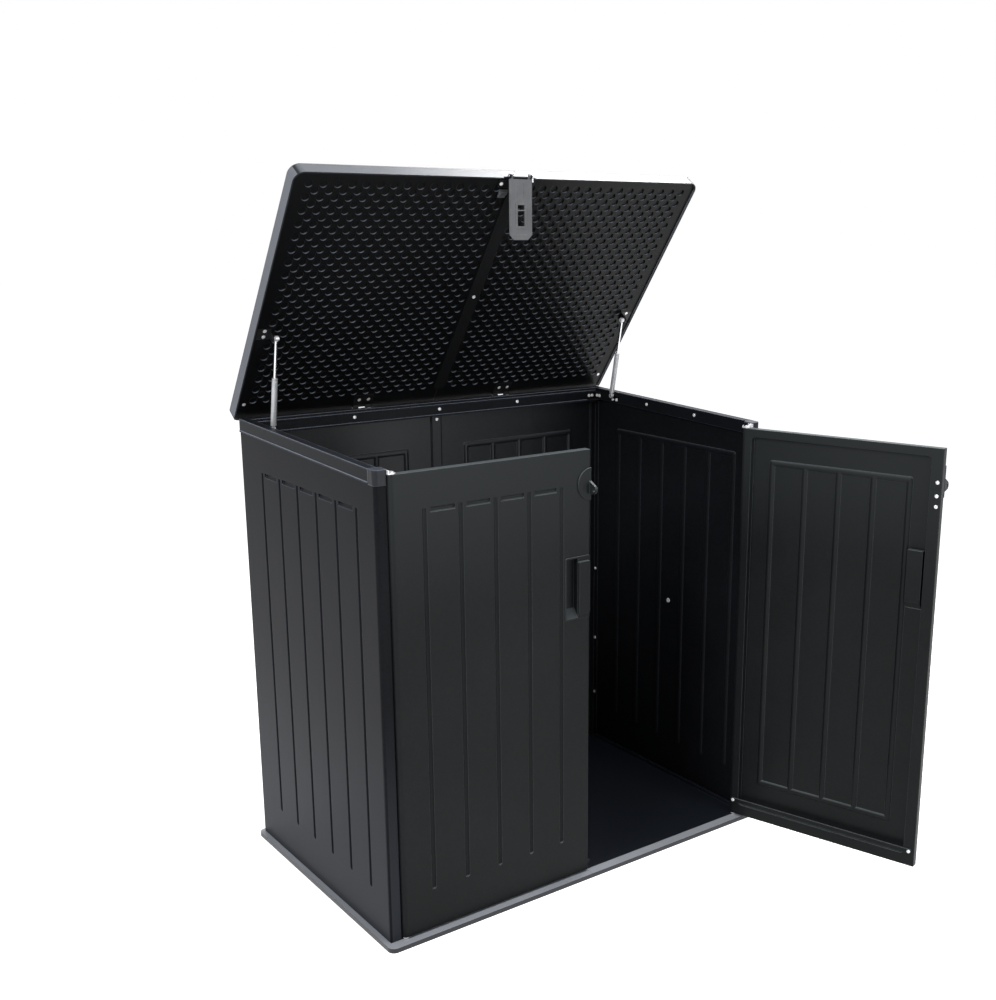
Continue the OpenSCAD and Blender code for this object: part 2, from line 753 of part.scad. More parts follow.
// Strip of H section over the seam of the lid's halves
module lid_centre_strip() color(resin_dark) on_lid() {
    w = joint_w / 2;
    y0 = -lid_reach + 50;
    y1 = -beam_d - hinge_back - 14;
    block([-w, y0, under - 3], [w, y1, under]);
    block([-0.5, y0, under - 1], [0.5, y1, roof + 1]);
    block([-w, y0, roof], [w, y1, roof + 2]);
}

// One moving leaf, centred on x = 0, in the lid's frame
module moving_leaf() {
    side = hinge_w / 2;
    k = knuckle_split - ease;
    difference() {
        union() {
            block([-side, -knuckle_r - 3 - leaf_len, under], [side, -knuckle_r - 3, under + leaf_t]);
            block([-k, -knuckle_r - 4, under], [k, 0, under + leaf_t]);
            facing([-k, 0, 0], "x") cylinder(r = knuckle_r, h = 2 * k);
        }
        facing([-k - 1, 0, 0], "x") cylinder(r = hinge_pin_r + run_gap, h = 2 * k + 2);
    }
}

module moving_hinge_leaves() color(bracket_black) on_lid()
    for (s = [-1, 1]) translate([s * hinge_x, 0, 0]) moving_leaf();

// The left strut plate on the lid: flange, ear and stud
module lid_stud() {
    eye_face = strut_x + eye_w / 2;
    stud_pocket(0, 0);
    block([-stud_ear_out, -stud_reach - 10, -stud_drop],
        [-stud_ear_out + leaf_t, -stud_reach + 10, under + leaf_t]);
    facing([-stud_ear_out, -stud_reach, -stud_drop], "x") cylinder(r = 10, h = leaf_t);
    facing([-stud_ear_out + leaf_t - 1, -stud_reach, -stud_drop], "x")
        cylinder(r = stud_r, h = stud_ear_out - leaf_t + 1 - strut_x + eye_w / 2 + ease + 2);
    facing([-strut_x + eye_w / 2 + ease, -stud_reach, -stud_drop], "x") cylinder(r = stud_r + 2, h = 2.5);
    facing([-eye_face - ease - 2, -stud_reach, -stud_drop], "x") cylinder(r = stud_r + 2, h = 2);
}

module left_lid_stud() color(bracket_black) on_lid() lid_stud();
module right_lid_stud() color(bracket_black) on_lid() mirror([1, 0, 0]) lid_stud();

// Sizes of the hasp's knuckles
hasp_knuckle = hasp_rod_r + 2.5;
ear_w = 6;
// The hasp bracket's plate: its reach past the hasp at each side, where its front and rear
// edges and the end of its arm lie behind the rod, and the arm's middle
bracket_out = 22;
bracket_near = 16;
bracket_far = 40;
arm_far = 76;
arm_x = hasp_w / 2 + bracket_out / 2 - 1;
bracket_foot = under - leaf_t;

module hasp_bracket() color(bracket_black) on_lid() difference() {
    half = hasp_w / 2;
    union() {
        block([-half - bracket_out, hasp_y + bracket_near, bracket_foot],
            [half + bracket_out, hasp_y + bracket_far, under]);
        block([half - 2, hasp_y + bracket_near, bracket_foot], [half + bracket_out, hasp_y + arm_far, under]);
        for (s = [-1, 1]) {
            x0 = s < 0 ? -half : half - ear_w;
            block([x0, hasp_y, bracket_foot], [x0 + ear_w, hasp_y + bracket_near + 1, under]);
            facing([x0, hasp_y, hasp_z], "x") cylinder(r = hasp_knuckle, h = ear_w);
        }
    }
    facing([-half - 1, hasp_y, hasp_z], "x") cylinder(r = hasp_rod_r + run_gap, h = hasp_w + 2);
}

// Catch block beside the hasp: a wedge with a sloping face
module hasp_clip() color(hasp_grey) on_lid() translate([-hasp_w / 2 - 12, hasp_y + bracket_far + 7, under]) {
    translate([0, 0, -leaf_t]) linear_extrude(leaf_t) polygon([[0, 0], [29, 0], [26, 26], [3, 26]]);
    side_prism(4, 25, [[3, -1], [3, -8], [8, -9], [23, -3], [23, -1]]);
}

module lid_screws() color(zinc) on_lid() {
    facing([0, -lid_reach / 2, under - 3], "-z") screw_head();
    for (s = [-1, 1]) {
        for (x = [-16, 16])
            facing([s * hinge_x + x, -knuckle_r - 3 - leaf_len / 2, under], "-z") flush_head();
        for (y = [-10, 10]) facing([s * (stud_ear_out + 16), -stud_reach + y, under], "-z") flush_head();
        facing([s * (lid_half - 24), -beam_d - 20, under], "-z") flush_head();
    }
    facing([-arm_x - 4, hasp_y + (bracket_near + bracket_far) / 2, bracket_foot], "-z") screw_head();
    facing([arm_x, hasp_y + arm_far - 23, bracket_foot], "-z") screw_head();
    facing([arm_x, hasp_y + arm_far - 8, bracket_foot], "-z") screw_head(small_screw_r);
}

/* Hasp, hanging straight down from its rod */

module at_hasp() {
    translate([0, hasp_open[0], hasp_open[1]]) children();
}

// The hinge rod, with a collar at one end and a tail bent down at the other
module hasp_rod() color(chrome) at_hasp() {
    tail_x = hasp_w / 2 + hasp_rod_r + ease;
    facing([-hasp_w / 2 - 1.5, 0, 0], "x") cylinder(r = hasp_rod_r, h = hasp_w / 2 + 1.5 + tail_x);
    facing([-hasp_w / 2 - ease, 0, 0], "-x") cylinder(r = hasp_rod_r + 1, h = 1.5);
    translate([tail_x, 0, -14]) upright(hasp_rod_r, 0, 14);
}

// The hasp plate: two lugs on the rod, chamfered corners, a framed slot with a cross bar
module hasp_plate() color(hasp_grey) at_hasp() {
    half = hasp_w / 2;
    lug_out = half - ear_w - 0.5;
    cham = 14;
    edge = hasp_knuckle + 2.5;
    frame_w = slot_w / 2 + 6;
    difference() {
        union() {
            for (s = [-1, 1]) {
                facing([s < 0 ? -lug_out : lug_out - ear_w, 0, 0], "x") cylinder(r = hasp_knuckle, h = ear_w);
                block([s < 0 ? -lug_out : lug_out - ear_w, -hasp_t / 2, -edge - 1],
                    [s < 0 ? -lug_out + ear_w : lug_out, hasp_t / 2, 0]);
            }
            rotate([90, 0, 0]) translate([0, 0, -hasp_t / 2]) linear_extrude(hasp_t) polygon([
                [-half, -edge], [half, -edge], [half, -hasp_len + cham], [half - cham, -hasp_len],
                [-half + cham, -hasp_len], [-half, -hasp_len + cham]]);
            rotate([90, 0, 0]) translate([0, 0, hasp_t / 2 - 1]) linear_extrude(3)
                round_rect([-frame_w, -window_end - 6], [frame_w, -slot_top + 6], [3, 3, 3, 3]);
            for (x = [-10, 10]) block([x - 1.5, -hasp_t / 2 - 1, -slot_top + 5], [x + 1.5, 0, -edge - 6]);
            for (s = [-1, 1]) facing([s * (frame_w - 3), 0, -slot_top - slot_h / 2], "-y")
                cylinder(r = 1.8, h = hasp_t);
            translate([0, 0, -hasp_len + cham / 2]) block([-half + cham, -hasp_t / 2 - 1, -cham / 2],
                [half - cham, 0, cham / 2]);
            for (s = [-1, 1]) translate([s * (half - 5), 0, 0])
                block([-1.5, -hasp_t / 2 - 1, -hasp_len + 2 * cham], [1.5, 0, -edge - 6]);
        }
        facing([-half, 0, 0], "x") cylinder(r = hasp_rod_r + run_gap, h = hasp_w);
        block([-slot_w / 2, -10, -slot_top - bar_down], [slot_w / 2, 10, -slot_top]);
        block([-slot_w / 2, -10, -window_end], [slot_w / 2, 10, -window_top]);
    }
}

/* Doors, drawn shut on the left side */

door_pocket_x0 = -door_edge + rim_side;
door_pocket_x1 = -meet_x - rim_side;
pull_x1 = -meet_x - 2;
pull_x0 = pull_x1 - pull_w;
pocket_x0 = pull_x0 + 2;
pocket_x1 = pull_x1 - 41;
pocket_z0 = pull_z - pull_h / 2 + 4;
pocket_ramp = 26;
pocket_z1 = pull_z + pull_h / 2 - 5;
pull_wall = 3;
pull_plate = 1.5;

// The outside of the pull's pocket, which follows its ramped floor, grown by g
module pocket_shell(g) {
    back = door_front + pocket_depth + pull_wall + g;
    foot = pocket_z0 - pull_wall - g;
    head = pocket_z1 + pull_wall + g;
    side_prism(pocket_x0 - pull_wall - g, pocket_x1 + pull_wall + g, [
        [door_front - 1, foot], [door_front, foot], [back, foot + pocket_ramp], [back, head],
        [door_front - 1, head]]);
}

// The door panel: a moulded slab with a bullnose hinge edge, a rimmed back and pressed grooves
module door_panel() {
    z_mid = (door_z0 + door_z1) / 2;
    difference() {
        union() {
            difference() {
                translate([0, 0, door_z0]) linear_extrude(door_z1 - door_z0) {
                    round_rect([-door_x, door_front], [-meet_x, door_back], [0, 3, 3, 0]);
                    translate([-door_x, door_mid_y]) circle(door_t / 2);
                }
                translate([0, door_back + 1, 0]) rotate([90, 0, 0])
                    linear_extrude(door_t - skin_t + 1)
                        round_rect([door_pocket_x0, door_z0 + rim_foot], [door_pocket_x1, door_z1 - rim_top],
                            [rim_r, rim_r, rim_r, rim_r]);
            }
            intersection() {
                block([-door_edge, door_front, door_z0], [-meet_x, door_back, door_z1]);
                door_ribs(groove_r + skin_t);
            }
        }
        door_ribs(groove_r);
        pocket_shell(ease);
        translate([-door_x, door_mid_y, door_z1 - 25]) cylinder(r = top_pin_r + 0.05, h = 40);
        translate([-door_x, door_mid_y, door_z0 - 1]) cylinder(r = foot_pin_r + 0.05, h = 21);
    }
}

// The pattern of bars pressed into a door, with radius r; its front has no level bar at the foot
module door_ribs(r) {
    cut = r < groove_r + 1 ? 2.4 * groove_r : 0;
    y = door_front + groove_depth - groove_r;
    for (i = [0 : panel_grooves - 1])
        translate([-door_first - i * panel_pitch, y, 0]) upright(r, groove_foot, groove_head);
    for (z = cut > 0 ? [groove_head] : [groove_foot, groove_head]) for (i = [0 : panel_grooves - 2])
        facing([-door_first - (i + 1) * panel_pitch + cut, y, z], "x")
            cylinder(r = r, h = panel_pitch - 2 * cut);
}

// The pull: a face plate with a raised grip beside a finger pocket that has a ramped floor
module door_pull() {
    z0 = pull_z - pull_h / 2;
    z1 = pull_z + pull_h / 2;
    grip = 7;
    face = door_front - pull_plate;
    difference() {
        union() {
            translate([0, door_front, 0]) rotate([90, 0, 0]) linear_extrude(pull_plate)
                round_rect([pull_x0, z0], [pull_x1, z1], [6, 6, 6, 6]);
            pocket_shell(0);
            translate([0, face, 0]) rotate([90, 0, 0]) linear_extrude(grip)
                round_rect([pocket_x1 + 1, z0 + 15], [pull_x1 - 3, z1 - 15], [4, 4, 4, 4]);
        }
        side_prism(pocket_x0, pocket_x1, [
            [face - 1, pocket_z0], [face, pocket_z0],
            [door_front + pocket_depth, pocket_z0 + pocket_ramp],
            [door_front + pocket_depth, pocket_z1], [face - 1, pocket_z1]]);
    }
}

// Half of the round lock plate with its padlock lug
module lock_plate() {
    tip_h = 16;
    root_h = 38;
    slant = 4;
    nose = 4;
    tip_head = lug_mid_z + tip_h / 2 - slant;
    tip_foot = lug_mid_z - tip_h / 2 - slant;
    difference() {
        union() {
            translate([0, door_front, 0]) rotate([90, 0, 0]) linear_extrude(lock_t) intersection() {
                translate([0, lock_z]) circle(lock_r);
                translate([-lock_r - 1, lock_z - lock_r - 1]) square([lock_r + 1 - meet_x, 2 * lock_r + 2]);
            }
            side_prism(-meet_x - lug_t, -meet_x, [
                [lug_root_y + 1, lug_mid_z - root_h / 2], [lug_root_y + 1, lug_mid_z + root_h / 2],
                [lug_root_y, lug_mid_z + root_h / 2], [lug_tip_y + nose, tip_head + nose / 2],
                [lug_tip_y, tip_head - nose], [lug_tip_y, tip_foot + nose],
                [lug_tip_y + nose, tip_foot - nose / 2], [lug_root_y, lug_mid_z - root_h / 2]]);
        }
        facing([-meet_x - lug_t - 1, lug_tip_y + padlock_r + 4, lug_mid_z - slant], "x")
            cylinder(r = padlock_r, h = lug_t + 2);
    }
}

module door_pins() {
    head_z = pivot_z + leaf_t + ease;
    translate([-door_x, door_mid_y, 0]) {
        translate([0, 0, door_z1 - 25]) cylinder(r = top_pin_r, h = head_z + 1 - door_z1 + 25);
        translate([0, 0, head_z]) cylinder(r = top_pin_r + 3, h = 3);
        translate([0, 0, floor_t - 8 + ease]) cylinder(r = foot_pin_r, h = door_z0 + 20 - floor_t + 8 - ease);
        translate([0, 0, floor_t + 1]) cylinder(r = foot_pin_r + 4, h = door_rise - 1);
    }
}

bar_x0 = door_pocket_x0 - 24;
bar_x1 = door_pocket_x1 + 24;
stiffener_z = door_z0 + rim_foot + 6;

module door_stiffener() {
    translate([0, door_back, 0]) rotate([-90, 0, 0]) mirror([0, 1, 0]) linear_extrude(3)
        round_rect([bar_x0, stiffener_z], [bar_x1, stiffener_z + 14], [4, 4, 4, 4]);
}

// Screw heads on the back of a door, given how far below the lock's middle its rim screws lie
module door_screws(drops) {
    for (x = [bar_x0 + 7, bar_x1 - 7]) facing([x, door_back + 3, stiffener_z + 7], "y") screw_head();
    for (drop = drops) facing([-meet_x - 12, door_back, lock_z - drop], "y") screw_head();
}

// Turns children, drawn for the shut left door, into the open right door
module opened() {
    translate([door_x, door_mid_y, 0]) rotate([0, 0, door_open]) translate([-door_x, -door_mid_y, 0])
        mirror([1, 0, 0]) children();
}

module left_door_panel() color(resin) door_panel();
module left_door_pull() color(resin_dark) door_pull();
module left_lock_plate() color(resin_dark) lock_plate();
module left_door_pins() color(zinc) door_pins();
module left_door_stiffener() color(resin_dark) door_stiffener();
module left_door_screws() color(zinc) door_screws([0, 68]);
module right_door_panel() color(resin) opened() door_panel();
module right_door_pull() color(resin_dark) opened() door_pull();
module right_lock_plate() color(resin_dark) opened() lock_plate();
module right_door_pins() color(zinc) opened() door_pins();
module right_door_stiffener() color(resin_dark) opened() door_stiffener();
module right_door_screws() color(zinc) opened() door_screws([0, 38, 68]);

/* Gas struts, drawn on the left side at full length */

// Places children with the origin at the wall stud and +Z along the strut
module along_strut() {
    translate([-strut_x, wall_stud[0], wall_stud[1]]) rotate([strut_lean - 90, 0, 0]) children();
}

// An eye across the strut, with a neck along it
module strut_eye(neck) {
    difference() {
        union() {
            facing([-eye_w / 2, 0, 0], "x") cylinder(r = eye_r, h = eye_w);
            translate([0, 0, eye_r - 2]) cylinder(r = rod_r, h = neck - eye_r + 2);
        }
        facing([-eye_w, 0, 0], "x") cylinder(r = stud_r + run_gap, h = 2 * eye_w);
    }
}

module strut_rod() {
    translate([0, 0, strut_long]) mirror([0, 0, 1]) {
        translate([0, 0, rod_left_out - 1]) cylinder(r = rod_r, h = rod_len - rod_left_out + 1);
        translate([0, 0, rod_len - piston_t]) cylinder(r = tube_r - tube_wall - ease, h = piston_t);
    }
}

module strut_tube() {
    bore = tube_r - tube_wall;
    rotate_extrude() polygon([
        [0, tube_foot], [tube_r - 1, tube_foot], [tube_r, tube_foot + 1],
        [tube_r, tube_top - 9], [tube_r - 0.8, tube_top - 8], [tube_r - 0.8, tube_top - 6],
        [tube_r, tube_top - 5], [tube_r, tube_top - 1], [tube_r - 1, tube_top],
        [rod_r + ease, tube_top], [rod_r + ease, tube_top - guide_len], [bore, tube_top - guide_len],
        [bore, tube_foot + 6], [0, tube_foot + 6]]);
}

module left_strut_rod() color(chrome) along_strut() strut_rod();
module left_strut_top_eye() color(silver) along_strut() translate([0, 0, strut_long]) mirror([0, 0, 1])
    strut_eye(rod_left_out - 1);
module left_strut_tube() color(silver) along_strut() strut_tube();
module left_strut_foot_eye() color(silver) along_strut() strut_eye(tube_foot);
module right_strut_rod() color(chrome) mirror([1, 0, 0]) along_strut() strut_rod();
module right_strut_top_eye() color(silver) mirror([1, 0, 0]) along_strut() translate([0, 0, strut_long])
    mirror([0, 0, 1]) strut_eye(rod_left_out - 1);
module right_strut_tube() color(silver) mirror([1, 0, 0]) along_strut() strut_tube();
module right_strut_foot_eye() color(silver) mirror([1, 0, 0]) along_strut() strut_eye(tube_foot);

floor_left();
floor_right();
door_stop();
left_wall();
right_wall();
rear_wall_left();
rear_wall_right();
rear_joint_strip();
rear_top_beam();
left_top_rail();
right_top_rail();
left_corner_cap();
right_corner_cap();
left_rear_gusset();
right_rear_gusset();
left_corner_strip();
right_corner_strip();
left_top_pivot();
right_top_pivot();
left_strut_mount();
right_strut_mount();
fixed_hinge_leaves();
lid_hinge_pins();
cabinet_screws();
lid_left_shell();
lid_right_shell();
lid_left_liner();
lid_right_liner();
lid_centre_strip();
moving_hinge_leaves();
left_lid_stud();
right_lid_stud();
hasp_bracket();
hasp_clip();
lid_screws();
hasp_rod();
hasp_plate();
left_door_panel();
left_door_pull();
left_lock_plate();
left_door_pins();
left_door_stiffener();
left_door_screws();
right_door_panel();
right_door_pull();
right_lock_plate();
right_door_pins();
right_door_stiffener();
right_door_screws();
left_strut_rod();
left_strut_top_eye();
left_strut_tube();
left_strut_foot_eye();
right_strut_rod();
right_strut_top_eye();
right_strut_tube();
right_strut_foot_eye();
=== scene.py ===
import logging
import math
from dataclasses import dataclass, field
from enum import Enum
from functools import lru_cache
from typing import Dict, List, Mapping, Optional, Sequence, Tuple, Union

import bmesh
import bpy
from mathutils import Matrix, Vector


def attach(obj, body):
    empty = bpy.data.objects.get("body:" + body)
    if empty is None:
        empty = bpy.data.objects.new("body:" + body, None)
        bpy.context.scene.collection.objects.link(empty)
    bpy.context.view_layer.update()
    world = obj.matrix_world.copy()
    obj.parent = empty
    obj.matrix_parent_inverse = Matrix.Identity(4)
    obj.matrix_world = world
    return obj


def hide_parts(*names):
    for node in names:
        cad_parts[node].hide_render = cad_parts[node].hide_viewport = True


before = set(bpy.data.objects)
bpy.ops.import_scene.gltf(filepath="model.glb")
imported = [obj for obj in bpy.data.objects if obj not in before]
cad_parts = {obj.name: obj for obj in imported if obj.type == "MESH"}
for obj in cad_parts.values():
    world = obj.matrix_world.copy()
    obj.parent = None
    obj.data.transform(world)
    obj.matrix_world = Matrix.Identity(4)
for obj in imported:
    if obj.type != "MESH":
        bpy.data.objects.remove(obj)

LOG = logging.getLogger("storage_box")
Point = Tuple[float, float, float]
Colour = Tuple[float, float, float]
Span = Tuple[float, float]
Link = Union["Value", float, Sequence[float]]

MM = 0.001

# Spans of a noise that give soft patches and firmer flakes
PATCHES: Span = (0.3, 0.7)
FLAKES: Span = (0.35, 0.65)

# A Mix node names its sockets alike for numbers and colours, so these go by number
MIX_FACTOR = 0
MIX_LOW = 6
MIX_HIGH = 7
MIX_RESULT = 2


# Node trees
class Value:
    """An output socket of a node tree that can be used in Python arithmetic."""

    def __init__(self, shader: "Shader", socket: bpy.types.NodeSocket) -> None:
        """Keeps the socket and the shader that it belongs to.

        Args:
            shader: The shader that new nodes are added to.
            socket: The output socket that is wrapped.
        """
        self.shader = shader
        self.socket = socket

    def maths(self, operation: str, *others: Link, first: Optional[Link] = None) -> "Value":
        """Adds one Math node.

        Args:
            operation: The Math node's operation.
            others: The operands after this value.
            first: An operand that goes before this value.

        Returns:
            The node's result.
        """
        operands = ([] if first is None else [first]) + [self, *others]
        settings = {"operation": operation}
        return self.shader.node("ShaderNodeMath", settings, dict(enumerate(operands)))

    def __add__(self, other: Link) -> "Value":
        """This value plus another."""
        return self.maths("ADD", other)

    __radd__ = __add__

    def __sub__(self, other: Link) -> "Value":
        """This value less another."""
        return self.maths("SUBTRACT", other)

    def __rsub__(self, other: Link) -> "Value":
        """Another value less this one."""
        return self.maths("SUBTRACT", first=other)

    def __mul__(self, other: Link) -> "Value":
        """This value times another."""
        return self.maths("MULTIPLY", other)

    __rmul__ = __mul__

    def raised(self, least: float) -> "Value":
        """This mask from 0 to 1, lifted to run from a least share to 1."""
        return least + (1 - least) * self

    def step(self, span: Span) -> "Value":
        """Rises smoothly from 0 to 1.

        Args:
            span: The values at which the result leaves 0 and reaches 1.

        Returns:
            The smoothed mask.
        """
        low, high = span
        return self.shader.node(
            "ShaderNodeMapRange",
            {"interpolation_type": "SMOOTHSTEP"},
            {"Value": self, "From Min": low, "From Max": high},
        )


def uneven(mean: float, *layers: Tuple[Value, float]) -> Value:
    """A roughness that noises make uneven about its mean.

    Args:
        mean: The mean roughness.
        layers: Noises, each with what it adds from its lowest to its highest.

    Returns:
        The uneven roughness.
    """
    total: Link = mean - sum(swing for _, swing in layers) / 2
    for noise, swing in layers:
        total = total + swing * noise
    return total


@dataclass(frozen=True)
class Noise:
    """One layer of fractal noise.

    Attributes:
        scale: Cycles per metre.
        detail: Number of octaves.
        roughness: How much the fine octaves count.
        stretch: Scale of each axis.
    """

    scale: float
    detail: float
    roughness: float
    stretch: Point = (1, 1, 1)


class Shader:
    """The node tree of a material or of the surroundings, under construction.

    Attributes:
        edge_span: Turn of the rounded normal, as 1 less its cosine, at which the mask of the
            edges starts and is full.
        bevel_samples: Samples that round off a normal.
    """

    edge_span: Span = (0.004, 0.16)
    bevel_samples: int = 6

    def __init__(self, owner: Union[bpy.types.Material, bpy.types.World]) -> None:
        """Starts an empty node tree.

        Args:
            owner: The material or world that the tree belongs to.
        """
        owner.use_nodes = True
        self.owner = owner
        self.tree = owner.node_tree
        self.tree.nodes.clear()

    def node(
        self,
        kind: str,
        settings: Optional[Mapping[str, object]] = None,
        inputs: Optional[Mapping[Union[str, int], Link]] = None,
        out: Union[str, int] = 0,
    ) -> Value:
        """Adds a node, sets its options, then fills or links its inputs.

        Args:
            kind: The node's type.
            settings: Attributes of the node, set first.
            inputs: Values or links by socket name or number.
            out: The output to return.

        Returns:
            The chosen output.
        """
        made = self.tree.nodes.new(kind)
        for key, value in (settings or {}).items():
            setattr(made, key, value)
        for key, value in (inputs or {}).items():
            if isinstance(value, Value):
                self.tree.links.new(value.socket, made.inputs[key])
            else:
                made.inputs[key].default_value = value
        return Value(self, made.outputs[out])

    def place(self) -> Value:
        """The point on the piece, in metres."""
        return self.node("ShaderNodeTexCoord", out="Object")

    def axis(self, name: str, vector: Optional[Value] = None) -> Value:
        """One coordinate of a vector.

        Args:
            name: X, Y or Z.
            vector: The vector, or nothing for the point on the piece.

        Returns:
            The coordinate.
        """
        return self.node("ShaderNodeSeparateXYZ", None, {0: vector or self.place()}, name)

    def noise(self, layer: Noise) -> Value:
        """Fractal noise over the piece.

        Args:
            layer: The noise's scale, octaves and stretch.

        Returns:
            The noise, from 0 to 1.
        """
        stretched = {0: self.place(), 1: layer.stretch}
        spot = self.node("ShaderNodeVectorMath", {"operation": "MULTIPLY"}, stretched)
        inputs = {
            "Vector": spot,
            "Scale": layer.scale,
            "Detail": layer.detail,
            "Roughness": layer.roughness,
        }
        return self.node("ShaderNodeTexNoise", None, inputs)

    def mix(self, factor: Link, low: Link, high: Link) -> Value:
        """Blends two colours.

        Args:
            factor: Share of the second colour.
            low: The colour at 0.
            high: The colour at 1.

        Returns:
            The blended colour.
        """
        inputs = {MIX_FACTOR: factor, MIX_LOW: rgba(low), MIX_HIGH: rgba(high)}
        return self.node("ShaderNodeMix", {"data_type": "RGBA"}, inputs, MIX_RESULT)

    def face_normal(self) -> Value:
        """The normal of the face."""
        return self.node("ShaderNodeNewGeometry", out="Normal")

    def rounded(self, radius: float) -> Value:
        """The normal with its sharp edges rounded off.

        Args:
            radius: Edge radius in metres.

        Returns:
            The rounded normal.
        """
        return self.node("ShaderNodeBevel", {"samples": self.bevel_samples}, {"Radius": radius})

    def edges(self, radius: float) -> Value:
        """A mask of the sharp edges.

        Args:
            radius: Width of the edge band in metres.

        Returns:
            A mask that is 0 on flat faces and rises on edges.
        """
        pair = {0: self.rounded(radius), 1: self.face_normal()}
        cosine = self.node("ShaderNodeVectorMath", {"operation": "DOT_PRODUCT"}, pair, "Value")
        return (1 - cosine).step(self.edge_span)

    def facing_up(self, span: Span, normal: Optional[Value] = None) -> Value:
        """A mask of the faces that look upwards at rest, which they keep when their body moves.

        Args:
            span: The normal's heights at which the mask leaves 0 and reaches 1.
            normal: A normal to use in place of the face's own.

        Returns:
            The mask.
        """
        turn = {"vector_type": "NORMAL", "convert_from": "WORLD", "convert_to": "OBJECT"}
        inputs = {0: normal or self.face_normal()}
        local = self.node("ShaderNodeVectorTransform", turn, inputs)
        return self.axis("Z", local).step(span)

    def bump(self, height: Value, depth: float, normal: Value) -> Value:
        """Turns a height into a normal.

        Args:
            height: The height, from 0 to 1.
            depth: Depth of the relief in metres.
            normal: The normal that the relief is added to.

        Returns:
            The bumped normal.
        """
        inputs = {"Strength": 1.0, "Distance": depth, "Height": height, "Normal": normal}
        return self.node("ShaderNodeBump", None, inputs)

    def seen_by(self, *rays: str) -> Value:
        """A mask of some kinds of ray.

        Args:
            rays: Outputs of the Light Path node.

        Returns:
            A mask that is 1 for a ray of any of these kinds.
        """
        seen, *others = [self.node("ShaderNodeLightPath", out=ray) for ray in rays]
        for other in others:
            seen = seen.maths("MAXIMUM", other)
        return seen

    def surface(self, shader: Value) -> None:
        """Links a shader to the tree's output.

        Args:
            shader: The shader that covers the surface.
        """
        kind = "World" if isinstance(self.owner, bpy.types.World) else "Material"
        output = self.tree.nodes.new(f"ShaderNodeOutput{kind}")
        self.tree.links.new(shader.socket, output.inputs["Surface"])

    def finish(self, **inputs: Link) -> bpy.types.Material:
        """Adds the Principled shader and the output.

        Args:
            inputs: Socket names, with _ for each space, and their values.

        Returns:
            The finished material.
        """
        named = {key.replace("_", " "): value for key, value in inputs.items()}
        self.surface(self.node("ShaderNodeBsdfPrincipled", None, named))
        return self.owner


def rgba(colour: Link) -> Link:
    """A colour with its alpha, or the link itself."""
    return colour if isinstance(colour, Value) else (*colour, 1.0)


def tint(colour: Colour, level: float) -> Colour:
    """A colour made lighter or darker.

    Args:
        colour: The colour.
        level: What it is multiplied by.

    Returns:
        The new colour.
    """
    return tuple(min(1.0, channel * level) for channel in colour)


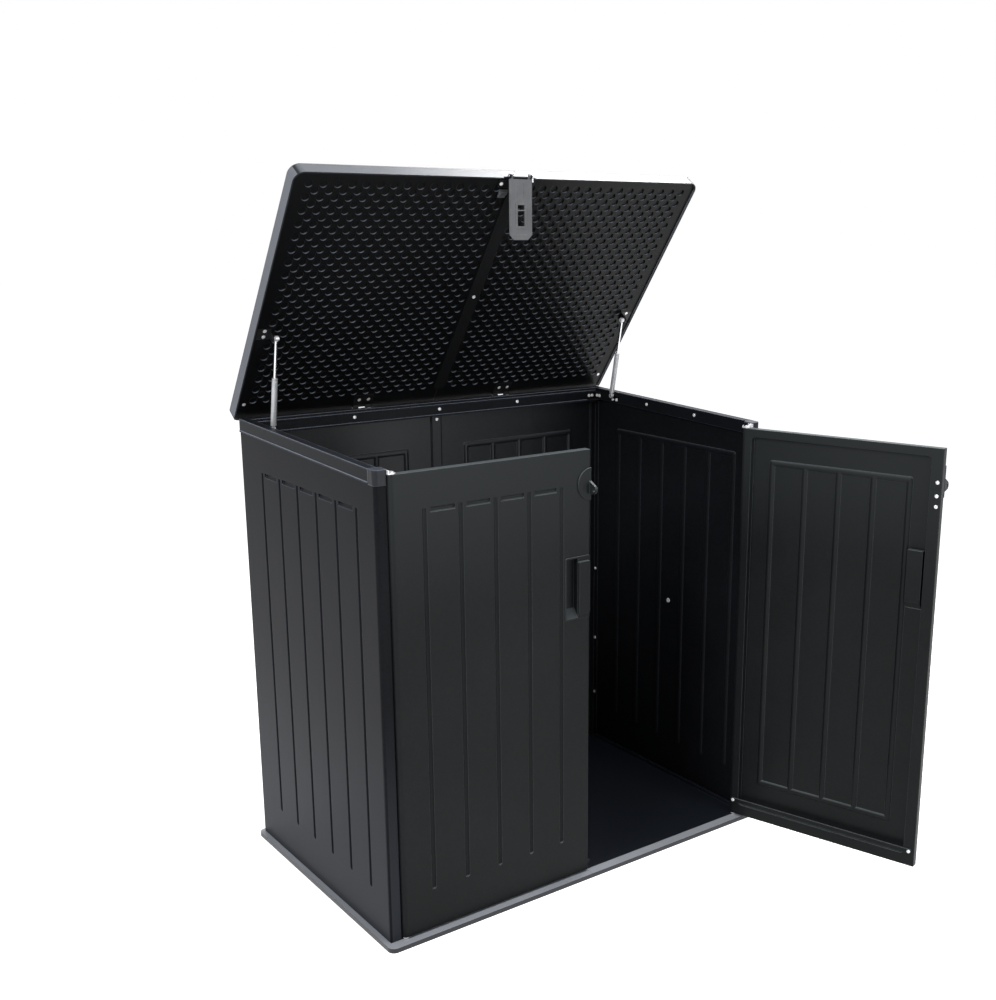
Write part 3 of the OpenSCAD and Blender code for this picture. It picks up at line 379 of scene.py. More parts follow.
# Finishes
@dataclass(frozen=True)
class MouldedResin:
    """Blow-moulded plastic with a fine grain, worn edges under a painted edge highlight, a little
    dust under painted top light, and painted sheen near the top and near the ground.

    Attributes:
        name: The material's name.
        colour: The plastic's colour.
        roughness: Mean roughness.
        specular: Level of the gloss.
        edge: How much lighter the edges are, from wear and a painted edge highlight.
        lift: How much lighter still are the edges that look upwards, a painted highlight.
        dust_and_top_light: How much lighter the faces that look up are, from dust and painted top
            light.
        soften: Radius of the moulded edges in metres.
        high: How much lighter the plastic is near the top of the box, a painted sheen.
        low: How much lighter the outside is near the ground, a painted sheen.
        rim: Colour of the upward faces outside a rectangle round the origin.
        half: Half the rectangle's width and depth in metres.
        matt: How much rougher the faces without dust are.
        patches: Darkest and lightest patches, as shares of the colour.
        rim_patch: Darkest patches of the rim, as a share of its colour.
        least_dust_and_top_light: Share of the dust and painted top light that shows where it is
            thinnest.
        least_edge_wear_and_highlight: Share of the edge wear and painted edge highlight that
            shows where it is least.
        cloud_swing: What the broad patches add to the roughness.
        mottle_swing: What the leathery grain adds to the roughness.
        leather: Depth of the leathery grain in metres.
        pore_depth: Depth of the pores in metres.
        high_span: Heights on the box at which the painted sheen near the top starts and is full,
            in metres.
        low_span: Heights on the box at which the painted sheen near the ground is full and ends,
            in metres.
        dust_and_top_light_facing: Heights of the normal at which the dust and painted top light
            start and are full.
        rim_facing: Heights of the normal at which the rim's colour starts and is full.
        lift_facing: Heights of an edge's normal at which the painted highlight of the lift starts
            and is full.
        cloud: Noise of the broad patches.
        flow: Noise of the upright streaks in the edge wear and painted edge highlight.
        mottle: Noise of the leathery grain.
        pores: Noise of the pores.
    """

    name: str
    colour: Colour
    roughness: float
    specular: float
    edge: float = 2.0
    lift: float = 3.0
    dust_and_top_light: float = 1.5
    soften: float = 1.8 * MM
    high: float = 1.0
    low: float = 1.0
    rim: Optional[Colour] = None
    half: Tuple[float, float] = (0.655, 0.400)
    matt: float = 0.0
    patches: Tuple[float, float] = (0.7, 1.3)
    rim_patch: float = 0.85
    least_dust_and_top_light: float = 0.4
    least_edge_wear_and_highlight: float = 0.45
    cloud_swing: float = 0.06
    mottle_swing: float = 0.10
    leather: float = 0.12 * MM
    pore_depth: float = 0.08 * MM
    high_span: Span = (0.85, 1.30)
    low_span: Span = (0.10, 0.75)
    dust_and_top_light_facing: Span = (0.3, 0.8)
    rim_facing: Span = (0.6, 0.98)
    lift_facing: Span = (-0.2, 0.5)
    cloud: Noise = Noise(2.6, 4, 0.6)
    flow: Noise = Noise(14, 3, 0.55, stretch=(1, 1, 0.25))
    mottle: Noise = Noise(150, 3, 0.6)
    pores: Noise = Noise(900, 2, 0.6)

    def outside(self, sh: Shader) -> Value:
        """A mask of the points outside the rectangle.

        Args:
            sh: The shader that it is added to.

        Returns:
            The mask.
        """
        past_width = sh.axis("X").maths("ABSOLUTE").maths("GREATER_THAN", self.half[0])
        past_depth = sh.axis("Y").maths("ABSOLUTE").maths("GREATER_THAN", self.half[1])
        return past_width.maths("MAXIMUM", past_depth)

    def with_patches_and_painted_sheen(self, sh: Shader, cloud: Value, mottle: Value) -> Value:
        """The plastic's colour with its patches, with painted sheen near the top and near the
        ground.

        Args:
            sh: The shader that it is added to.
            cloud: The broad patches.
            mottle: The leathery grain.

        Returns:
            The colour.
        """
        dark, light = (tint(self.colour, share) for share in self.patches)
        base = sh.mix((cloud * 0.5 + mottle * 0.5).step(PATCHES), dark, light)
        if self.high != 1.0:
            # painted sheen: lighter towards the top of the box
            base = sh.mix(sh.axis("Z").step(self.high_span), base, tint(self.colour, self.high))
        if self.low != 1.0:
            # painted sheen: the outside lighter near the ground
            foot = self.outside(sh) * (1 - sh.axis("Z").step(self.low_span))
            base = sh.mix(foot, base, tint(self.colour, self.low))
        return base

    def with_dust_and_top_light(self, sh: Shader, base: Value, cloud: Value, upward: Value) -> Value:
        """A colour with dust and painted top light on its upward faces, and with its pale rim
        where there is one.

        Args:
            sh: The shader that it is added to.
            base: The colour without dust and painted top light.
            cloud: The broad patches.
            upward: The mask of the upward faces.

        Returns:
            The colour.
        """
        # dust with painted top light on the faces that look upwards
        cover = upward * cloud.raised(self.least_dust_and_top_light)
        dusty_and_top_lit = sh.mix(cover, base, tint(self.colour, self.dust_and_top_light))
        if self.rim is None:
            return dusty_and_top_lit
        rim = sh.mix(cloud.step(PATCHES), tint(self.rim, self.rim_patch), self.rim)
        return sh.mix(self.outside(sh) * sh.facing_up(self.rim_facing), dusty_and_top_lit, rim)

    def with_edge_wear_and_highlight(self, sh: Shader, base: Value, soft: Value) -> Value:
        """A colour with worn edges under a painted edge highlight, which is lightest where they
        look upwards.

        Args:
            sh: The shader that it is added to.
            base: The colour without the edge wear and painted highlight.
            soft: The normal with rounded edges.

        Returns:
            The colour.
        """
        # edge wear with a painted edge highlight, broken into upright streaks
        edge_mask = sh.edges(self.soften) * sh.noise(self.flow).raised(self.least_edge_wear_and_highlight)
        edged = sh.mix(edge_mask, base, tint(self.colour, self.edge))
        # painted highlight on the edges that look upwards
        lit = tint(self.colour, self.edge * self.lift)
        return sh.mix(edge_mask * sh.facing_up(self.lift_facing, soft), edged, lit)

    def make(self) -> bpy.types.Material:
        """Builds the material.

        Returns:
            The finished material.
        """
        sh = Shader(bpy.data.materials.new(self.name))
        cloud, mottle = sh.noise(self.cloud), sh.noise(self.mottle)
        soft = sh.rounded(self.soften)
        upward = sh.facing_up(self.dust_and_top_light_facing)
        dusty_and_top_lit = self.with_dust_and_top_light(sh, self.with_patches_and_painted_sheen(sh, cloud, mottle), cloud, upward)
        rough = uneven(self.roughness, (cloud, self.cloud_swing), (mottle, self.mottle_swing))
        if self.matt:
            rough = rough + self.matt * (1 - upward)
        leather = sh.bump(mottle, self.leather, soft)
        return sh.finish(
            Base_Color=self.with_edge_wear_and_highlight(sh, dusty_and_top_lit, soft),
            Roughness=rough,
            Normal=sh.bump(sh.noise(self.pores), self.pore_depth, leather),
            Specular_IOR_Level=self.specular,
        )


@dataclass(frozen=True)
class PlatedSteel:
    """Zinc or chrome plate on steel.

    Attributes:
        name: The material's name.
        colour: The metal's colour.
        roughness: Mean roughness.
        spangle: How uneven the plate looks.
        metallic: Share of bare metal; the rest is a pale passive layer.
        swing: What the patches of the plate add to the roughness.
        scratch_depth: Depth of the scratches in metres.
        soften: Radius of the edges in metres.
        patch: Noise of the plate's patches.
        scratch: Noise of the scratches.
    """

    name: str
    colour: Colour
    roughness: float
    spangle: float = 0.2
    metallic: float = 1.0
    swing: float = 0.12
    scratch_depth: float = 0.03 * MM
    soften: float = 0.5 * MM
    patch: Noise = Noise(240, 3, 0.6)
    scratch: Noise = Noise(1500, 2, 0.5, stretch=(1, 0.1, 1))

    def make(self) -> bpy.types.Material:
        """Builds the material.

        Returns:
            The finished material.
        """
        sh = Shader(bpy.data.materials.new(self.name))
        patch = sh.noise(self.patch)
        dull = tint(self.colour, 1 - self.spangle)
        return sh.finish(
            Base_Color=sh.mix(patch.step(PATCHES), dull, self.colour),
            Metallic=self.metallic,
            Roughness=uneven(self.roughness, (patch, self.swing)),
            Normal=sh.bump(sh.noise(self.scratch), self.scratch_depth, sh.rounded(self.soften)),
        )


@dataclass(frozen=True)
class SprayPaint:
    """Satin paint on metal, with orange peel and worn edges.

    Attributes:
        name: The material's name.
        colour: The paint's colour.
        bare: The colour of the worn edges.
        roughness: Mean roughness.
        metallic: Share of metal flake in the paint.
        specular: Level of the gloss.
        patches: Darkest and lightest patches, as shares of the colour.
        swing: What the patches add to the roughness.
        peel_depth: Depth of the orange peel in metres.
        soften: Radius of the edges, and width of their wear, in metres.
        cloud: Noise of the patches.
        peel: Noise of the orange peel.
    """

    name: str
    colour: Colour
    bare: Colour
    roughness: float = 0.38
    metallic: float = 0.0
    specular: float = 0.5
    patches: Tuple[float, float] = (0.9, 1.08)
    swing: float = 0.1
    peel_depth: float = 0.06 * MM
    soften: float = 0.8 * MM
    cloud: Noise = Noise(30, 3, 0.6)
    peel: Noise = Noise(420, 2, 0.5)

    def make(self) -> bpy.types.Material:
        """Builds the material.

        Returns:
            The finished material.
        """
        sh = Shader(bpy.data.materials.new(self.name))
        cloud = sh.noise(self.cloud)
        dark, light = (tint(self.colour, share) for share in self.patches)
        colour = sh.mix(cloud.step(PATCHES), dark, light)
        return sh.finish(
            Base_Color=sh.mix(sh.edges(self.soften) * cloud.step(FLAKES), colour, self.bare),
            Metallic=self.metallic,
            Roughness=uneven(self.roughness, (cloud, self.swing)),
            Normal=sh.bump(sh.noise(self.peel), self.peel_depth, sh.rounded(self.soften)),
            Specular_IOR_Level=self.specular,
        )


@dataclass(frozen=True)
class BlackPlateZincPin:
    """A black steel plate whose pin, nearer to the middle of the lid, is bare zinc.

    Attributes:
        name: The material's name.
        plate: The plate's colour.
        pin: The pin's colour.
        reach: Distance from the middle at which the pin meets the plate, in metres.
        roughness: Mean roughness.
        specular: Level of the gloss.
        metallic: Share of bare metal in the pin.
        edge: How much lighter the plate's worn edges are.
        pin_patch: Darkest patches of the pin, as a share of its colour.
        swing: What the patches add to the roughness.
        grain_depth: Depth of the patches in metres.
        edge_width: Width of the worn edges in metres.
        soften: Radius of the edges in metres.
        patch: Noise of the patches.
    """

    name: str
    plate: Colour
    pin: Colour
    reach: float
    roughness: float = 0.37
    specular: float = 0.3
    metallic: float = 0.55
    edge: float = 6.0
    pin_patch: float = 0.85
    swing: float = 0.1
    grain_depth: float = 0.03 * MM
    edge_width: float = 0.8 * MM
    soften: float = 0.6 * MM
    patch: Noise = Noise(240, 3, 0.6)

    def make(self) -> bpy.types.Material:
        """Builds the material.

        Returns:
            The finished material.
        """
        sh = Shader(bpy.data.materials.new(self.name))
        bare = sh.axis("X").maths("ABSOLUTE").maths("LESS_THAN", self.reach)
        patch = sh.noise(self.patch)
        edge_mask = sh.edges(self.edge_width) * patch.step(FLAKES)
        edged = sh.mix(edge_mask, self.plate, tint(self.plate, self.edge))
        plated = sh.mix(patch.step(PATCHES), tint(self.pin, self.pin_patch), self.pin)
        return sh.finish(
            Base_Color=sh.mix(bare, edged, plated),
            Metallic=bare * self.metallic,
            Roughness=uneven(self.roughness, (patch, self.swing)),
            Normal=sh.bump(patch, self.grain_depth, sh.rounded(self.soften)),
            Specular_IOR_Level=self.specular,
        )


class Finish(Enum):
    """The finishes of the box's pieces."""

    # Dark shell: painted edge highlights, painted top light on upward faces and a painted sheen
    # on the outside near the ground.
    RESIN = MouldedResin(
        name="resin_shell",
        colour=(0.0084, 0.0092, 0.0110),
        roughness=0.38,
        specular=0.045,
        edge=6.0,
        lift=4.0,
        dust_and_top_light=4.0,
        soften=2.6 * MM,
        low=3.6,
        half=(0.654, 0.399),
    )
    # Rails: strong painted highlight lines along their edges.
    RAIL = MouldedResin(
        name="resin_rail",
        colour=(0.0082, 0.0092, 0.0114),
        roughness=0.36,
        specular=0.06,
        edge=9.0,
        lift=6.0,
        dust_and_top_light=3.0,
        soften=3.0 * MM,
    )
    CAP = MouldedResin(
        name="resin_cap",
        colour=(0.0200, 0.0220, 0.0270),
        roughness=0.36,
        specular=0.16,
        edge=4.0,
        lift=3.0,
        dust_and_top_light=4.0,
        soften=4.0 * MM,
    )
    REAR = MouldedResin(
        name="resin_rear",
        colour=(0.0085, 0.0100, 0.0120),
        roughness=0.38,
        specular=0.26,
        edge=5.0,
        lift=4.0,
        dust_and_top_light=3.0,
        soften=2.4 * MM,
    )
    # Doors: painted sheen towards their top and painted top light on their upward faces.
    DOOR = MouldedResin(
        name="resin_door",
        colour=(0.0078, 0.0090, 0.0095),
        roughness=0.40,
        specular=0.11,
        edge=6.0,
        lift=5.0,
        dust_and_top_light=14.0,
        soften=2.6 * MM,
        high=2.6,
    )
    INNER = MouldedResin(
        name="resin_inner",
        colour=(0.0040, 0.0044, 0.0050),
        roughness=0.60,
        specular=0.10,
    )
    # Liner: bright painted highlights on the dimples' upward lips and faces.
    LINER = MouldedResin(
        name="resin_liner",
        colour=(0.0024, 0.0027, 0.0032),
        roughness=0.34,
        specular=0.12,
        edge=3.0,
        lift=20.0,
        dust_and_top_light=170.0,
        soften=2.8 * MM,
    )
    # Lid: painted top light on its upward faces.
    LID = MouldedResin(
        name="resin_lid",
        colour=(0.0095, 0.0105, 0.0125),
        roughness=0.36,
        specular=0.40,
        edge=3.0,
        lift=5.0,
        dust_and_top_light=13.0,
        rim=(0.17, 0.18, 0.205),
        half=(0.664, 9.0),
        matt=0.45,
        dust_and_top_light_facing=(0.66, 0.78),
        rim_facing=(-0.3, 0.0),
    )
    FLOOR = MouldedResin(
        name="resin_floor",
        colour=(0.0085, 0.0105, 0.0150),
        roughness=0.34,
        specular=0.45,
        dust_and_top_light=1.2,
        rim=(0.40, 0.42, 0.46),
    )
    ZINC = PlatedSteel(
        name="zinc_plate",
        colour=(0.96, 0.97, 0.99),
        roughness=0.34,
        metallic=0.4,
    )
    CHROME = PlatedSteel(
        name="chrome_plate",
        colour=(0.80, 0.81, 0.83),
        roughness=0.14,
        spangle=0.06,
    )
    SILVER = SprayPaint(
        name="silver_paint",
        colour=(0.50, 0.51, 0.53),
        bare=(0.70, 0.70, 0.72),
        roughness=0.34,
        metallic=0.25,
    )
    HASP = SprayPaint(
        name="hasp_grey_paint",
        colour=(0.125, 0.130, 0.138),
        bare=(0.30, 0.30, 0.31),
    )
    BLACK = SprayPaint(
        name="black_paint",
        colour=(0.006, 0.006, 0.007),
        bare=(0.06, 0.06, 0.06),
        specular=0.16,
    )
    STUD = BlackPlateZincPin(
        name="zinc_pin_black_plate",
        plate=(0.006, 0.006, 0.007),
        pin=(0.92, 0.93, 0.96),
        reach=0.6222,
    )


@lru_cache(maxsize=None)
def material(finish: Finish) -> bpy.types.Material:
    """The material of a finish, made once.

    Args:
        finish: The finish.

    Returns:
        Its material.
    """
    return finish.value.make()


# Pieces
def coat(finish: Finish, *nodes: str) -> None:
    """Gives CAD nodes a finish.

    Args:
        finish: The finish.
        nodes: Names of the CAD nodes.
    """
    for name in nodes:
        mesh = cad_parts[name].data
        mesh.materials.clear()
        mesh.materials.append(material(finish))
        LOG.info("%s: %s", name, finish.value.name)


def piece(
    name: str, bm: bmesh.types.BMesh, finish: Finish, body: str, slot: str, *nodes: str
) -> bpy.types.Object:
    """Turns a mesh into a piece that rides on a body.

    Args:
        name: The piece's name.
        bm: Its mesh, in the frame's coordinates; it is freed.
        finish: Its finish.
        body: The body that it rides on.
        slot: The material slot of the record; not used.
        nodes: The CAD nodes that it replaces.

    Returns:
        The new object.
    """
    made = placed(name, bm)
    for face in made.data.polygons:
        face.use_smooth = True
    made.data.materials.append(material(finish))
    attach(made, body)
    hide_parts(*nodes)
    LOG.info("%s: built, %d faces", name, len(made.data.polygons))
    return made


def placed(name: str, bm: bmesh.types.BMesh) -> bpy.types.Object:
    """Puts a mesh into the scene.

    Args:
        name: The object's name.
        bm: Its mesh; it is freed.

    Returns:
        The new object.
    """
    mesh = bpy.data.meshes.new(name)
    bm.to_mesh(mesh)
    bm.free()
    made = bpy.data.objects.new(name, mesh)
    bpy.context.scene.collection.objects.link(made)
    return made


@dataclass(frozen=True)
class Head:
    """A plain screw head.

    Attributes:
        seat: Centre of its seat.
        out: Unit direction out of the seat.
        height: Its height in metres.
        radius: Its radius in metres.
    """

    seat: Vector
    out: Vector
    height: float
    radius: float


@dataclass
class Facet:
    """The faces of a screw head that look one way, taken together.

    Attributes:
        area: Their area.
        moment: The sum of their centres, each times its area.
        way: The sum of their normals, each times its area.
    """

    area: float = 0.0
    moment: Vector = field(default_factory=Vector)
    way: Vector = field(default_factory=Vector)

    def take(self, face: bmesh.types.BMFace) -> None:
        """Takes in one more face.

        Args:
            face: A face that looks the same way.
        """
        area = face.calc_area()
        self.area += area
        self.moment += face.calc_center_median() * area
        self.way += face.normal * area

    def centre(self) -> Vector:
        """The middle of the faces."""
        return self.moment / self.area


@dataclass
class Screws:
    """Cross-head screws in the place of one CAD node's plain heads.

    Attributes:
        node: The CAD node.
        body: The body that they ride on.
        flush_way: The way that countersunk heads face.
        extra: Heads that the CAD node lacks.
        cross: Half the length of the cross recess, as a share of a head's radius.
        arm: Half the width of an arm of the cross, as a share of a head's radius.
        recess: Depth of the cross, as a share of a head's height.
        spokes: Number of faces round a head.
        pan_height: Height above which a head is domed, in metres.
        dome: How far a domed top falls from its middle to its edge, as a share of its height.
        weld: Distance within which two points of the CAD mesh are one, in metres.
        way_digits: Decimals in which the normals of faces that look one way agree.
        alike: Largest ratio of the areas of two ends that count as the same.
        turn: Turn of the cross at the origin, in radians, and its change per metre along X and Z.
        pan_rim: Radius and level of the rings up the side of a domed head, as shares.
        flush_rim: Radius and level of the rings up the side of a countersunk head, as shares.
        top: Radius of the rings on the top, as shares.
    """

    node: str
    body: str
    flush_way: Vector = field(default_factory=lambda: Vector((0, 0, 1)))
    extra: Sequence[Head] = ()
    cross: float = 0.56
    arm: float = 0.13
    recess: float = 0.45
    spokes: int = 40
    pan_height: float = 1.2 * MM
    dome: float = 0.18
    weld: float = 0.001 * MM
    way_digits: int = 1
    alike: float = 1.05
    turn: Tuple[float, float, float] = (0.5, 40.0, 25.0)
    pan_rim: Tuple[Span, ...] = ((1.0, 0.0), (1.0, 0.35), (0.95, 0.62), (0.82, 0.82))
    flush_rim: Tuple[Span, ...] = ((1.0, 0.0), (1.0, 0.7), (0.93, 1.0))
    top: Tuple[float, ...] = (0.68, 0.56, 0.44, 0.32, 0.22, 0.14, 0.07)

    def plain_heads(self) -> List[Head]:
        """Finds each head in the CAD mesh.

        Returns:
            The heads, in the order of the mesh.
        """
        bm = bmesh.new()
        bm.from_mesh(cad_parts[self.node].data)
        bmesh.ops.remove_doubles(bm, verts=bm.verts, dist=self.weld)
        bm.verts.index_update()
        found = []
        taken = set()
        for first in bm.verts:
            if first.index in taken:
                continue
            taken.add(first.index)
            group = []
            waiting = [first]
            while waiting:
                vert = waiting.pop()
                group.append(vert)
                for edge in vert.link_edges:
                    other = edge.other_vert(vert)
                    if other.index not in taken:
                        taken.add(other.index)
                        waiting.append(other)
            found.append(self.measure(group))
        bm.free()
        return found

    def measure(self, group: Sequence[bmesh.types.BMVert]) -> Head:
        """Measures one head, whose two largest facets are its seat and its top.

        Args:
            group: The head's vertices.

        Returns:
            The head.
        """
        facets: Dict[Tuple[float, ...], Facet] = {}
        for face in dict.fromkeys(face for vert in group for face in vert.link_faces):
            way = tuple(round(part, self.way_digits) for part in face.normal)
            facets.setdefault(way, Facet()).take(face)
        seat, top = sorted(facets.values(), key=lambda facet: -facet.area)[:2]
        height = (top.centre() - seat.centre()).length
        same = seat.area < top.area * self.alike
        if same and top.way.normalized().dot(self.flush_way) < 0:
            seat, top = top, seat
        middle, out = seat.centre(), top.way.normalized()
        radius = max((vert.co - middle).cross(out).length for vert in group)
        return Head(middle, out, height, radius)

    def ring(
        self, bm: bmesh.types.BMesh, head: Head, place: Matrix, share: float, level: float
    ) -> List[bmesh.types.BMVert]:
        """Adds one ring of a head's points, sunk where the cross is.

        Args:
            bm: The mesh that the ring goes into.
            head: The plain head.
            place: The head's place and turn.
            share: The ring's radius, as a share of the head's.
            level: The ring's level, as a share of the head's height.

        Returns:
            The points.
        """
        points = []
        for spoke in range(self.spokes):
            angle = 2 * math.pi * spoke / self.spokes
            x, y = share * math.cos(angle), share * math.sin(angle)
            near, far = sorted((abs(x), abs(y)))
            sunk = self.recess if near < self.arm and far < self.cross else 0.0
            spot = Vector((x * head.radius, y * head.radius, (level - sunk) * head.height))
            points.append(bm.verts.new(place @ spot))
        return points

    def cross_head(self, bm: bmesh.types.BMesh, head: Head) -> None:
        """Adds a cross-head in the place of a plain head.

        Args:
            bm: The mesh that it goes into.
            head: The plain head.
        """
        start, along_x, along_z = self.turn
        angle = start + along_x * head.seat.x + along_z * head.seat.z
        facing = head.out.to_track_quat("Z", "Y").to_matrix().to_4x4()
        place = Matrix.Translation(head.seat) @ facing @ Matrix.Rotation(angle, 4, "Z")
        pan = head.height > self.pan_height
        dome = self.dome if pan else 0.0
        profile = [*(self.pan_rim if pan else self.flush_rim)]
        profile += [(share, 1.0 - dome * share) for share in self.top]
        rings = [self.ring(bm, head, place, share, level) for share, level in profile]
        for low, high in zip(rings, rings[1:]):
            for i in range(self.spokes):
                j = (i + 1) % self.spokes
                bm.faces.new((low[i], low[j], high[j], high[i]))
        bm.faces.new(rings[-1])

    def build(self) -> None:
        """Builds every head as one piece and hides the CAD node."""
        bm = bmesh.new()
        for head in [*self.plain_heads(), *self.extra]:
            self.cross_head(bm, head)
        piece(f"{self.node}_cross_heads", bm, Finish.ZINC, self.body, "zinc", self.node)


# Sub-assemblies
class Assembly:
    """A sub-assembly of the box."""

    def dress(self) -> None:
        """Gives the carried-over nodes their finishes."""
        raise NotImplementedError

    def build(self) -> None:
        """Builds the pieces that replace nodes; some sub-assemblies have none."""


@dataclass
class Cabinet(Assembly):
    """Floor, walls, rails, beam and the fittings that are fixed to them.

    Attributes:
        body: The body that the pieces ride on.
        floors: The floor panels and the door stop.
        shells: The side walls and the rear corner strips.
        rails: The rear beam and the top rails.
        rear: The rear wall panels and the strip that joins them.
        caps: The front corner caps.
        brackets: The black metal fittings.
        pivots: The zinc brackets at the top of the doors.
        screws: The node of the plain screw heads.
        wall_screw_at: Y and Z of the large screw inside the right wall, in metres.
        wall_screw_size: Height and radius of its head, in metres.
        square_on: Least cosine of a face that looks straight across the box.
    """

    body: str = "cabinet"
    floors: Tuple[str, ...] = ("floor_left", "floor_right", "door_stop")
    shells: Tuple[str, ...] = (
        "left_wall",
        "right_wall",
        "left_corner_strip",
        "right_corner_strip",
    )
    rails: Tuple[str, ...] = ("rear_top_beam", "left_top_rail", "right_top_rail")
    rear: Tuple[str, ...] = ("rear_wall_left", "rear_wall_right", "rear_joint_strip")
    caps: Tuple[str, ...] = ("left_corner_cap", "right_corner_cap")
    brackets: Tuple[str, ...] = (
        "left_rear_gusset",
        "right_rear_gusset",
        "left_strut_mount",
        "right_strut_mount",
        "fixed_hinge_leaves",
        "lid_hinge_pins",
    )
    pivots: Tuple[str, ...] = ("left_top_pivot", "right_top_pivot")
    screws: str = "cabinet_screws"
    wall_screw_at: Tuple[float, float] = (-0.0120, 0.6315)
    wall_screw_size: Tuple[float, float] = (3.0 * MM, 8.0 * MM)
    square_on: float = 0.99

    def dress(self) -> None:
        """Gives the carried-over nodes their finishes."""
        coat(Finish.FLOOR, *self.floors)
        coat(Finish.RESIN, *self.shells)
        coat(Finish.RAIL, *self.rails)
        coat(Finish.REAR, *self.rear)
        coat(Finish.CAP, *self.caps)
        coat(Finish.BLACK, *self.brackets)
        coat(Finish.ZINC, *self.pivots)

    def wall_screw(self) -> Head:
        """The large screw half way up the inside of the right wall.

        Returns:
            Its head.
        """
        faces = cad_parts["right_wall"].data.polygons
        inward = (face for face in faces if face.normal.x < -self.square_on)
        skin = max(inward, key=lambda face: face.area).center.x
        seat = Vector((skin, *self.wall_screw_at))
        return Head(seat, Vector((-1, 0, 0)), *self.wall_screw_size)

    def build(self) -> None:
        """Builds the cross-head screws."""
        Screws(self.screws, self.body, extra=(self.wall_screw(),)).build()


@dataclass
class Lid(Assembly):
    """The lid's shells, liners and metal fittings.

    Attributes:
        body: The body that the pieces ride on.
        shells: The outer shells.
        liners: The dimpled liners.
        strip: The strip over the seam.
        brackets: The black metal fittings.
        studs: The struts' plates with their studs.
        clip: The catch block beside the hasp.
        screws: The node of the plain screw heads.
        forward: How far forward a normal points at least on the open lid's underside.
    """

    body: str = "lid"
    shells: Tuple[str, ...] = ("lid_left_shell", "lid_right_shell")
    liners: Tuple[str, ...] = ("lid_left_liner", "lid_right_liner")
    strip: str = "lid_centre_strip"
    brackets: Tuple[str, ...] = ("moving_hinge_leaves", "hasp_bracket")
    studs: Tuple[str, ...] = ("left_lid_stud", "right_lid_stud")
    clip: str = "hasp_clip"
    screws: str = "lid_screws"
    forward: float = 0.1

    def underside(self) -> Vector:
        """The way that the open lid's underside faces, from its centre strip's largest face.

        Returns:
            The unit direction.
        """
        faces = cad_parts[self.strip].data.polygons
        front = (face for face in faces if face.normal.y < -self.forward)
        return max(front, key=lambda face: face.area).normal.normalized()

    def dress(self) -> None:
        """Gives the carried-over nodes their finishes."""
        coat(Finish.LID, *self.shells)
        coat(Finish.LINER, *self.liners)
        coat(Finish.INNER, self.strip)
        coat(Finish.BLACK, *self.brackets)
        coat(Finish.STUD, *self.studs)
        coat(Finish.HASP, self.clip)

    def build(self) -> None:
        """Builds the cross-head screws."""
        Screws(self.screws, self.body, self.underside()).build()


@dataclass
class Hasp(Assembly):
    """The hasp plate and its hinge rod.

    Attributes:
        rod: The rod that the plate swings on.
        plate: The slotted plate.
    """

    rod: str = "hasp_rod"
    plate: str = "hasp_plate"

    def dress(self) -> None:
        """Gives the carried-over nodes their finishes."""
        coat(Finish.CHROME, self.rod)
        coat(Finish.HASP, self.plate)


class Side(Enum):
    """Which side of the cabinet a piece is on."""

    LEFT = "left"
    RIGHT = "right"


@dataclass
class Door(Assembly):
    """One front door with its pull, lock plate and fittings.

    Attributes:
        side: The side that the door hangs on.
        panels: Ends of the names of the resin nodes.
        pins: End of the name of the pivot pins.
        screws: End of the name of the plain screw heads.
    """

    side: Side
    panels: Tuple[str, ...] = ("door_panel", "door_pull", "lock_plate", "door_stiffener")
    pins: str = "door_pins"
    screws: str = "door_screws"

    def dress(self) -> None:
        """Gives the carried-over nodes their finishes."""
        coat(Finish.DOOR, *(f"{self.side.value}_{panel}" for panel in self.panels))
        coat(Finish.ZINC, f"{self.side.value}_{self.pins}")

    def build(self) -> None:
        """Builds the cross-head screws."""
        Screws(f"{self.side.value}_{self.screws}", f"{self.side.value}_door").build()


@dataclass
class Strut(Assembly):
    """One gas strut.

    Attributes:
        side: The side that the strut is on.
        rod: End of the name of the rod.
        top_eye: End of the name of the eye at the lid.
        tube: Ends of the names of the tube and its eye at the wall.
    """

    side: Side
    rod: str = "strut_rod"
    top_eye: str = "strut_top_eye"
    tube: Tuple[str, ...] = ("strut_tube", "strut_foot_eye")

    def dress(self) -> None:
        """Gives the carried-over nodes their finishes."""
        coat(Finish.CHROME, f"{self.side.value}_{self.rod}")
        coat(Finish.ZINC, f"{self.side.value}_{self.top_eye}")
        coat(Finish.SILVER, *(f"{self.side.value}_{part}" for part in self.tube))


# Studio
@dataclass(frozen=True)
class Lamp:
    """A soft square lamp.

    Attributes:
        name: The lamp's name.
        spot: Where it is, in metres.
        aim: What it points at, in metres.
        size: Its side in metres.
        power: Its power in watts.
    """

    name: str
    spot: Point
    aim: Point
    size: float
    power: float

    def build(self) -> None:
        """Adds the lamp to the scene."""
        data = bpy.data.lights.new(self.name, "AREA")
        data.size = self.size
        data.energy = self.power
        made = bpy.data.objects.new(self.name, data)
        way = Vector(self.aim) - Vector(self.spot)
        turn = way.to_track_quat("-Z", "Y").to_matrix().to_4x4()
        made.matrix_world = Matrix.Translation(self.spot) @ turn
        bpy.context.scene.collection.objects.link(made)


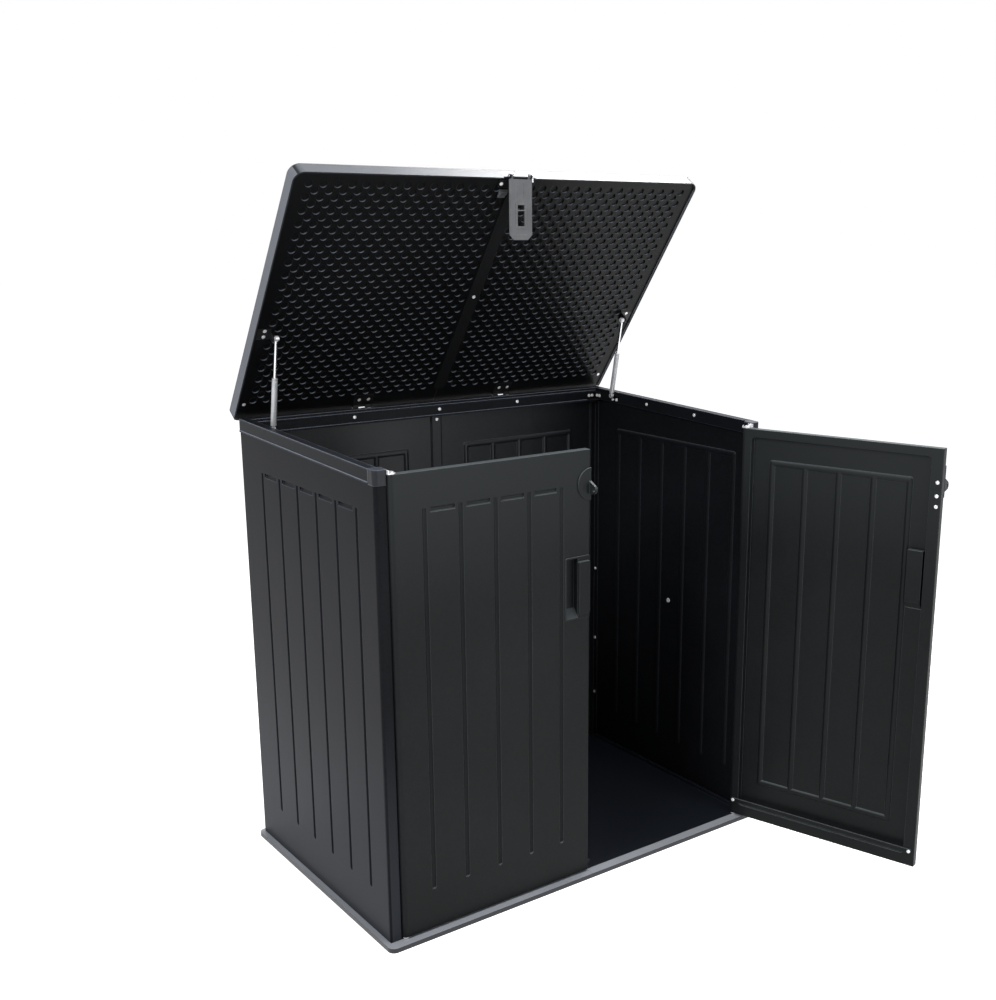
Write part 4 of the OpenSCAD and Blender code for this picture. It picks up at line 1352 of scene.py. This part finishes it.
@dataclass
class Studio:
    """Camera, lamps, floor and the pale surroundings.

    Attributes:
        eye: Where the camera is, in metres.
        yaw: The camera's turn to the right of straight ahead, in radians.
        pitch: Its turn upwards, in radians.
        roll: Its turn about the line of sight, in radians.
        lens_px: Focal length in pixels of the photograph.
        centre_px: Where the line of sight meets the photograph, in pixels.
        image_px: Width and height of the photograph, in pixels.
        sensor_mm: Width of the camera's sensor.
        far: Distance that the camera sees to, in metres.
        floor_half: Half the floor's side in metres.
        floor_cells: Number of cells along the floor's side.
        floor_gap: How far the floor lies under the box, in metres.
        floor_colour: The floor's colour.
        floor_glow: Light of the floor that the camera and gloss see.
        sky_colour: Colour of the light from the surroundings.
        sky_light: Strength of that light.
        lamps: The lamps.
    """

    eye: Point = (-2.06122, -3.02934, 1.85310)
    yaw: float = 0.651817
    pitch: float = -0.244314
    roll: float = 0.002395
    lens_px: float = 1245.738
    centre_px: Tuple[float, float] = (572.18, 538.816)
    image_px: Tuple[float, float] = (996.0, 1000.0)
    sensor_mm: float = 36.0
    far: float = 200.0
    floor_half: float = 40.0
    floor_cells: int = 4
    floor_gap: float = 0.5 * MM
    floor_colour: Colour = (0.82, 0.82, 0.83)
    floor_glow: float = 0.85
    sky_colour: Colour = (0.96, 0.98, 1.0)
    sky_light: float = 0.25
    lamps: Tuple[Lamp, ...] = (
        Lamp("key_left", spot=(-5.2, -1.6, 3.6), aim=(0, 0, 0.8), size=2.6, power=190),
        Lamp("top", spot=(0.5, -1.0, 5.4), aim=(0, 0, 1.0), size=3.0, power=110),
        Lamp("rim_right", spot=(2.18, 0.72, 4.16), aim=(0.3, -0.1, 1.97), size=1.4, power=115),
        Lamp("front_right", spot=(1.2, -4.2, 1.3), aim=(0.2, 0, 0.9), size=1.0, power=38),
    )

    def turn(self) -> Matrix:
        """The camera's turn, from its angles.

        Returns:
            The turn, as a 4 by 4 matrix.
        """
        level, rise = math.cos(self.pitch), math.sin(self.pitch)
        forward, sideways = math.cos(self.yaw), math.sin(self.yaw)
        ahead = Vector((sideways * level, forward * level, rise))
        right = Vector((forward, -sideways, 0))
        up = right.cross(ahead)
        cos, sin = math.cos(self.roll), math.sin(self.roll)
        across, over = right * cos + up * sin, up * cos - right * sin
        return Matrix((across, over, -ahead)).transposed().to_4x4()

    def camera(self) -> None:
        """Places the camera where the photograph was taken from."""
        width, height = self.image_px
        data = bpy.data.cameras.new("camera")
        data.sensor_width = self.sensor_mm
        data.lens = self.lens_px * self.sensor_mm / height
        data.shift_x = (width / 2 - self.centre_px[0]) / height
        data.shift_y = (self.centre_px[1] - height / 2) / height
        data.clip_end = self.far
        made = bpy.data.objects.new("camera", data)
        made.matrix_world = Matrix.Translation(self.eye) @ self.turn()
        bpy.context.scene.collection.objects.link(made)
        bpy.context.scene.camera = made

    def floor(self) -> None:
        """Adds the pale floor, which keeps the object's shadow."""
        bm = bmesh.new()
        cells, half = self.floor_cells, self.floor_half
        bmesh.ops.create_grid(bm, x_segments=cells, y_segments=cells, size=half)
        made = placed("studio_floor", bm)
        made.location.z = -self.floor_gap
        sh = Shader(bpy.data.materials.new("studio_floor"))
        seen = sh.seen_by("Is Camera Ray", "Is Glossy Ray")
        matt = sh.node("ShaderNodeBsdfDiffuse", None, {"Color": rgba(self.floor_colour)})
        glow = sh.node("ShaderNodeEmission", None, {"Strength": seen * self.floor_glow})
        sh.surface(sh.node("ShaderNodeAddShader", None, {0: matt, 1: glow}))
        made.data.materials.append(sh.owner)

    def world(self) -> None:
        """Adds the grey surroundings, which the camera, gloss and glass see as white."""
        world = bpy.data.worlds.new("studio")
        bpy.context.scene.world = world
        sh = Shader(world)
        seen = sh.seen_by("Is Camera Ray", "Is Glossy Ray", "Is Transmission Ray")
        light = {"Color": rgba(self.sky_colour), "Strength": self.sky_light}
        grey = sh.node("ShaderNodeBackground", None, light)
        white = sh.node("ShaderNodeBackground", None, {"Color": (1, 1, 1, 1), "Strength": 1.0})
        sh.surface(sh.node("ShaderNodeMixShader", None, {0: seen, 1: grey, 2: white}))

    def build(self) -> None:
        """Sets up the whole studio."""
        self.camera()
        self.floor()
        self.world()
        for lamp in self.lamps:
            lamp.build()
        bpy.context.scene.view_settings.view_transform = "Standard"


def main() -> None:
    """Builds and dresses every sub-assembly, then the studio."""
    logging.basicConfig(level=logging.INFO, format="%(message)s")
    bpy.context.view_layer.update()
    parts: List[Assembly] = [Cabinet(), Lid(), Hasp()]
    for side in Side:
        parts += [Door(side), Strut(side)]
    for part in parts:
        part.dress()
        part.build()
    Studio().build()


if __name__ == "__main__":
    main()
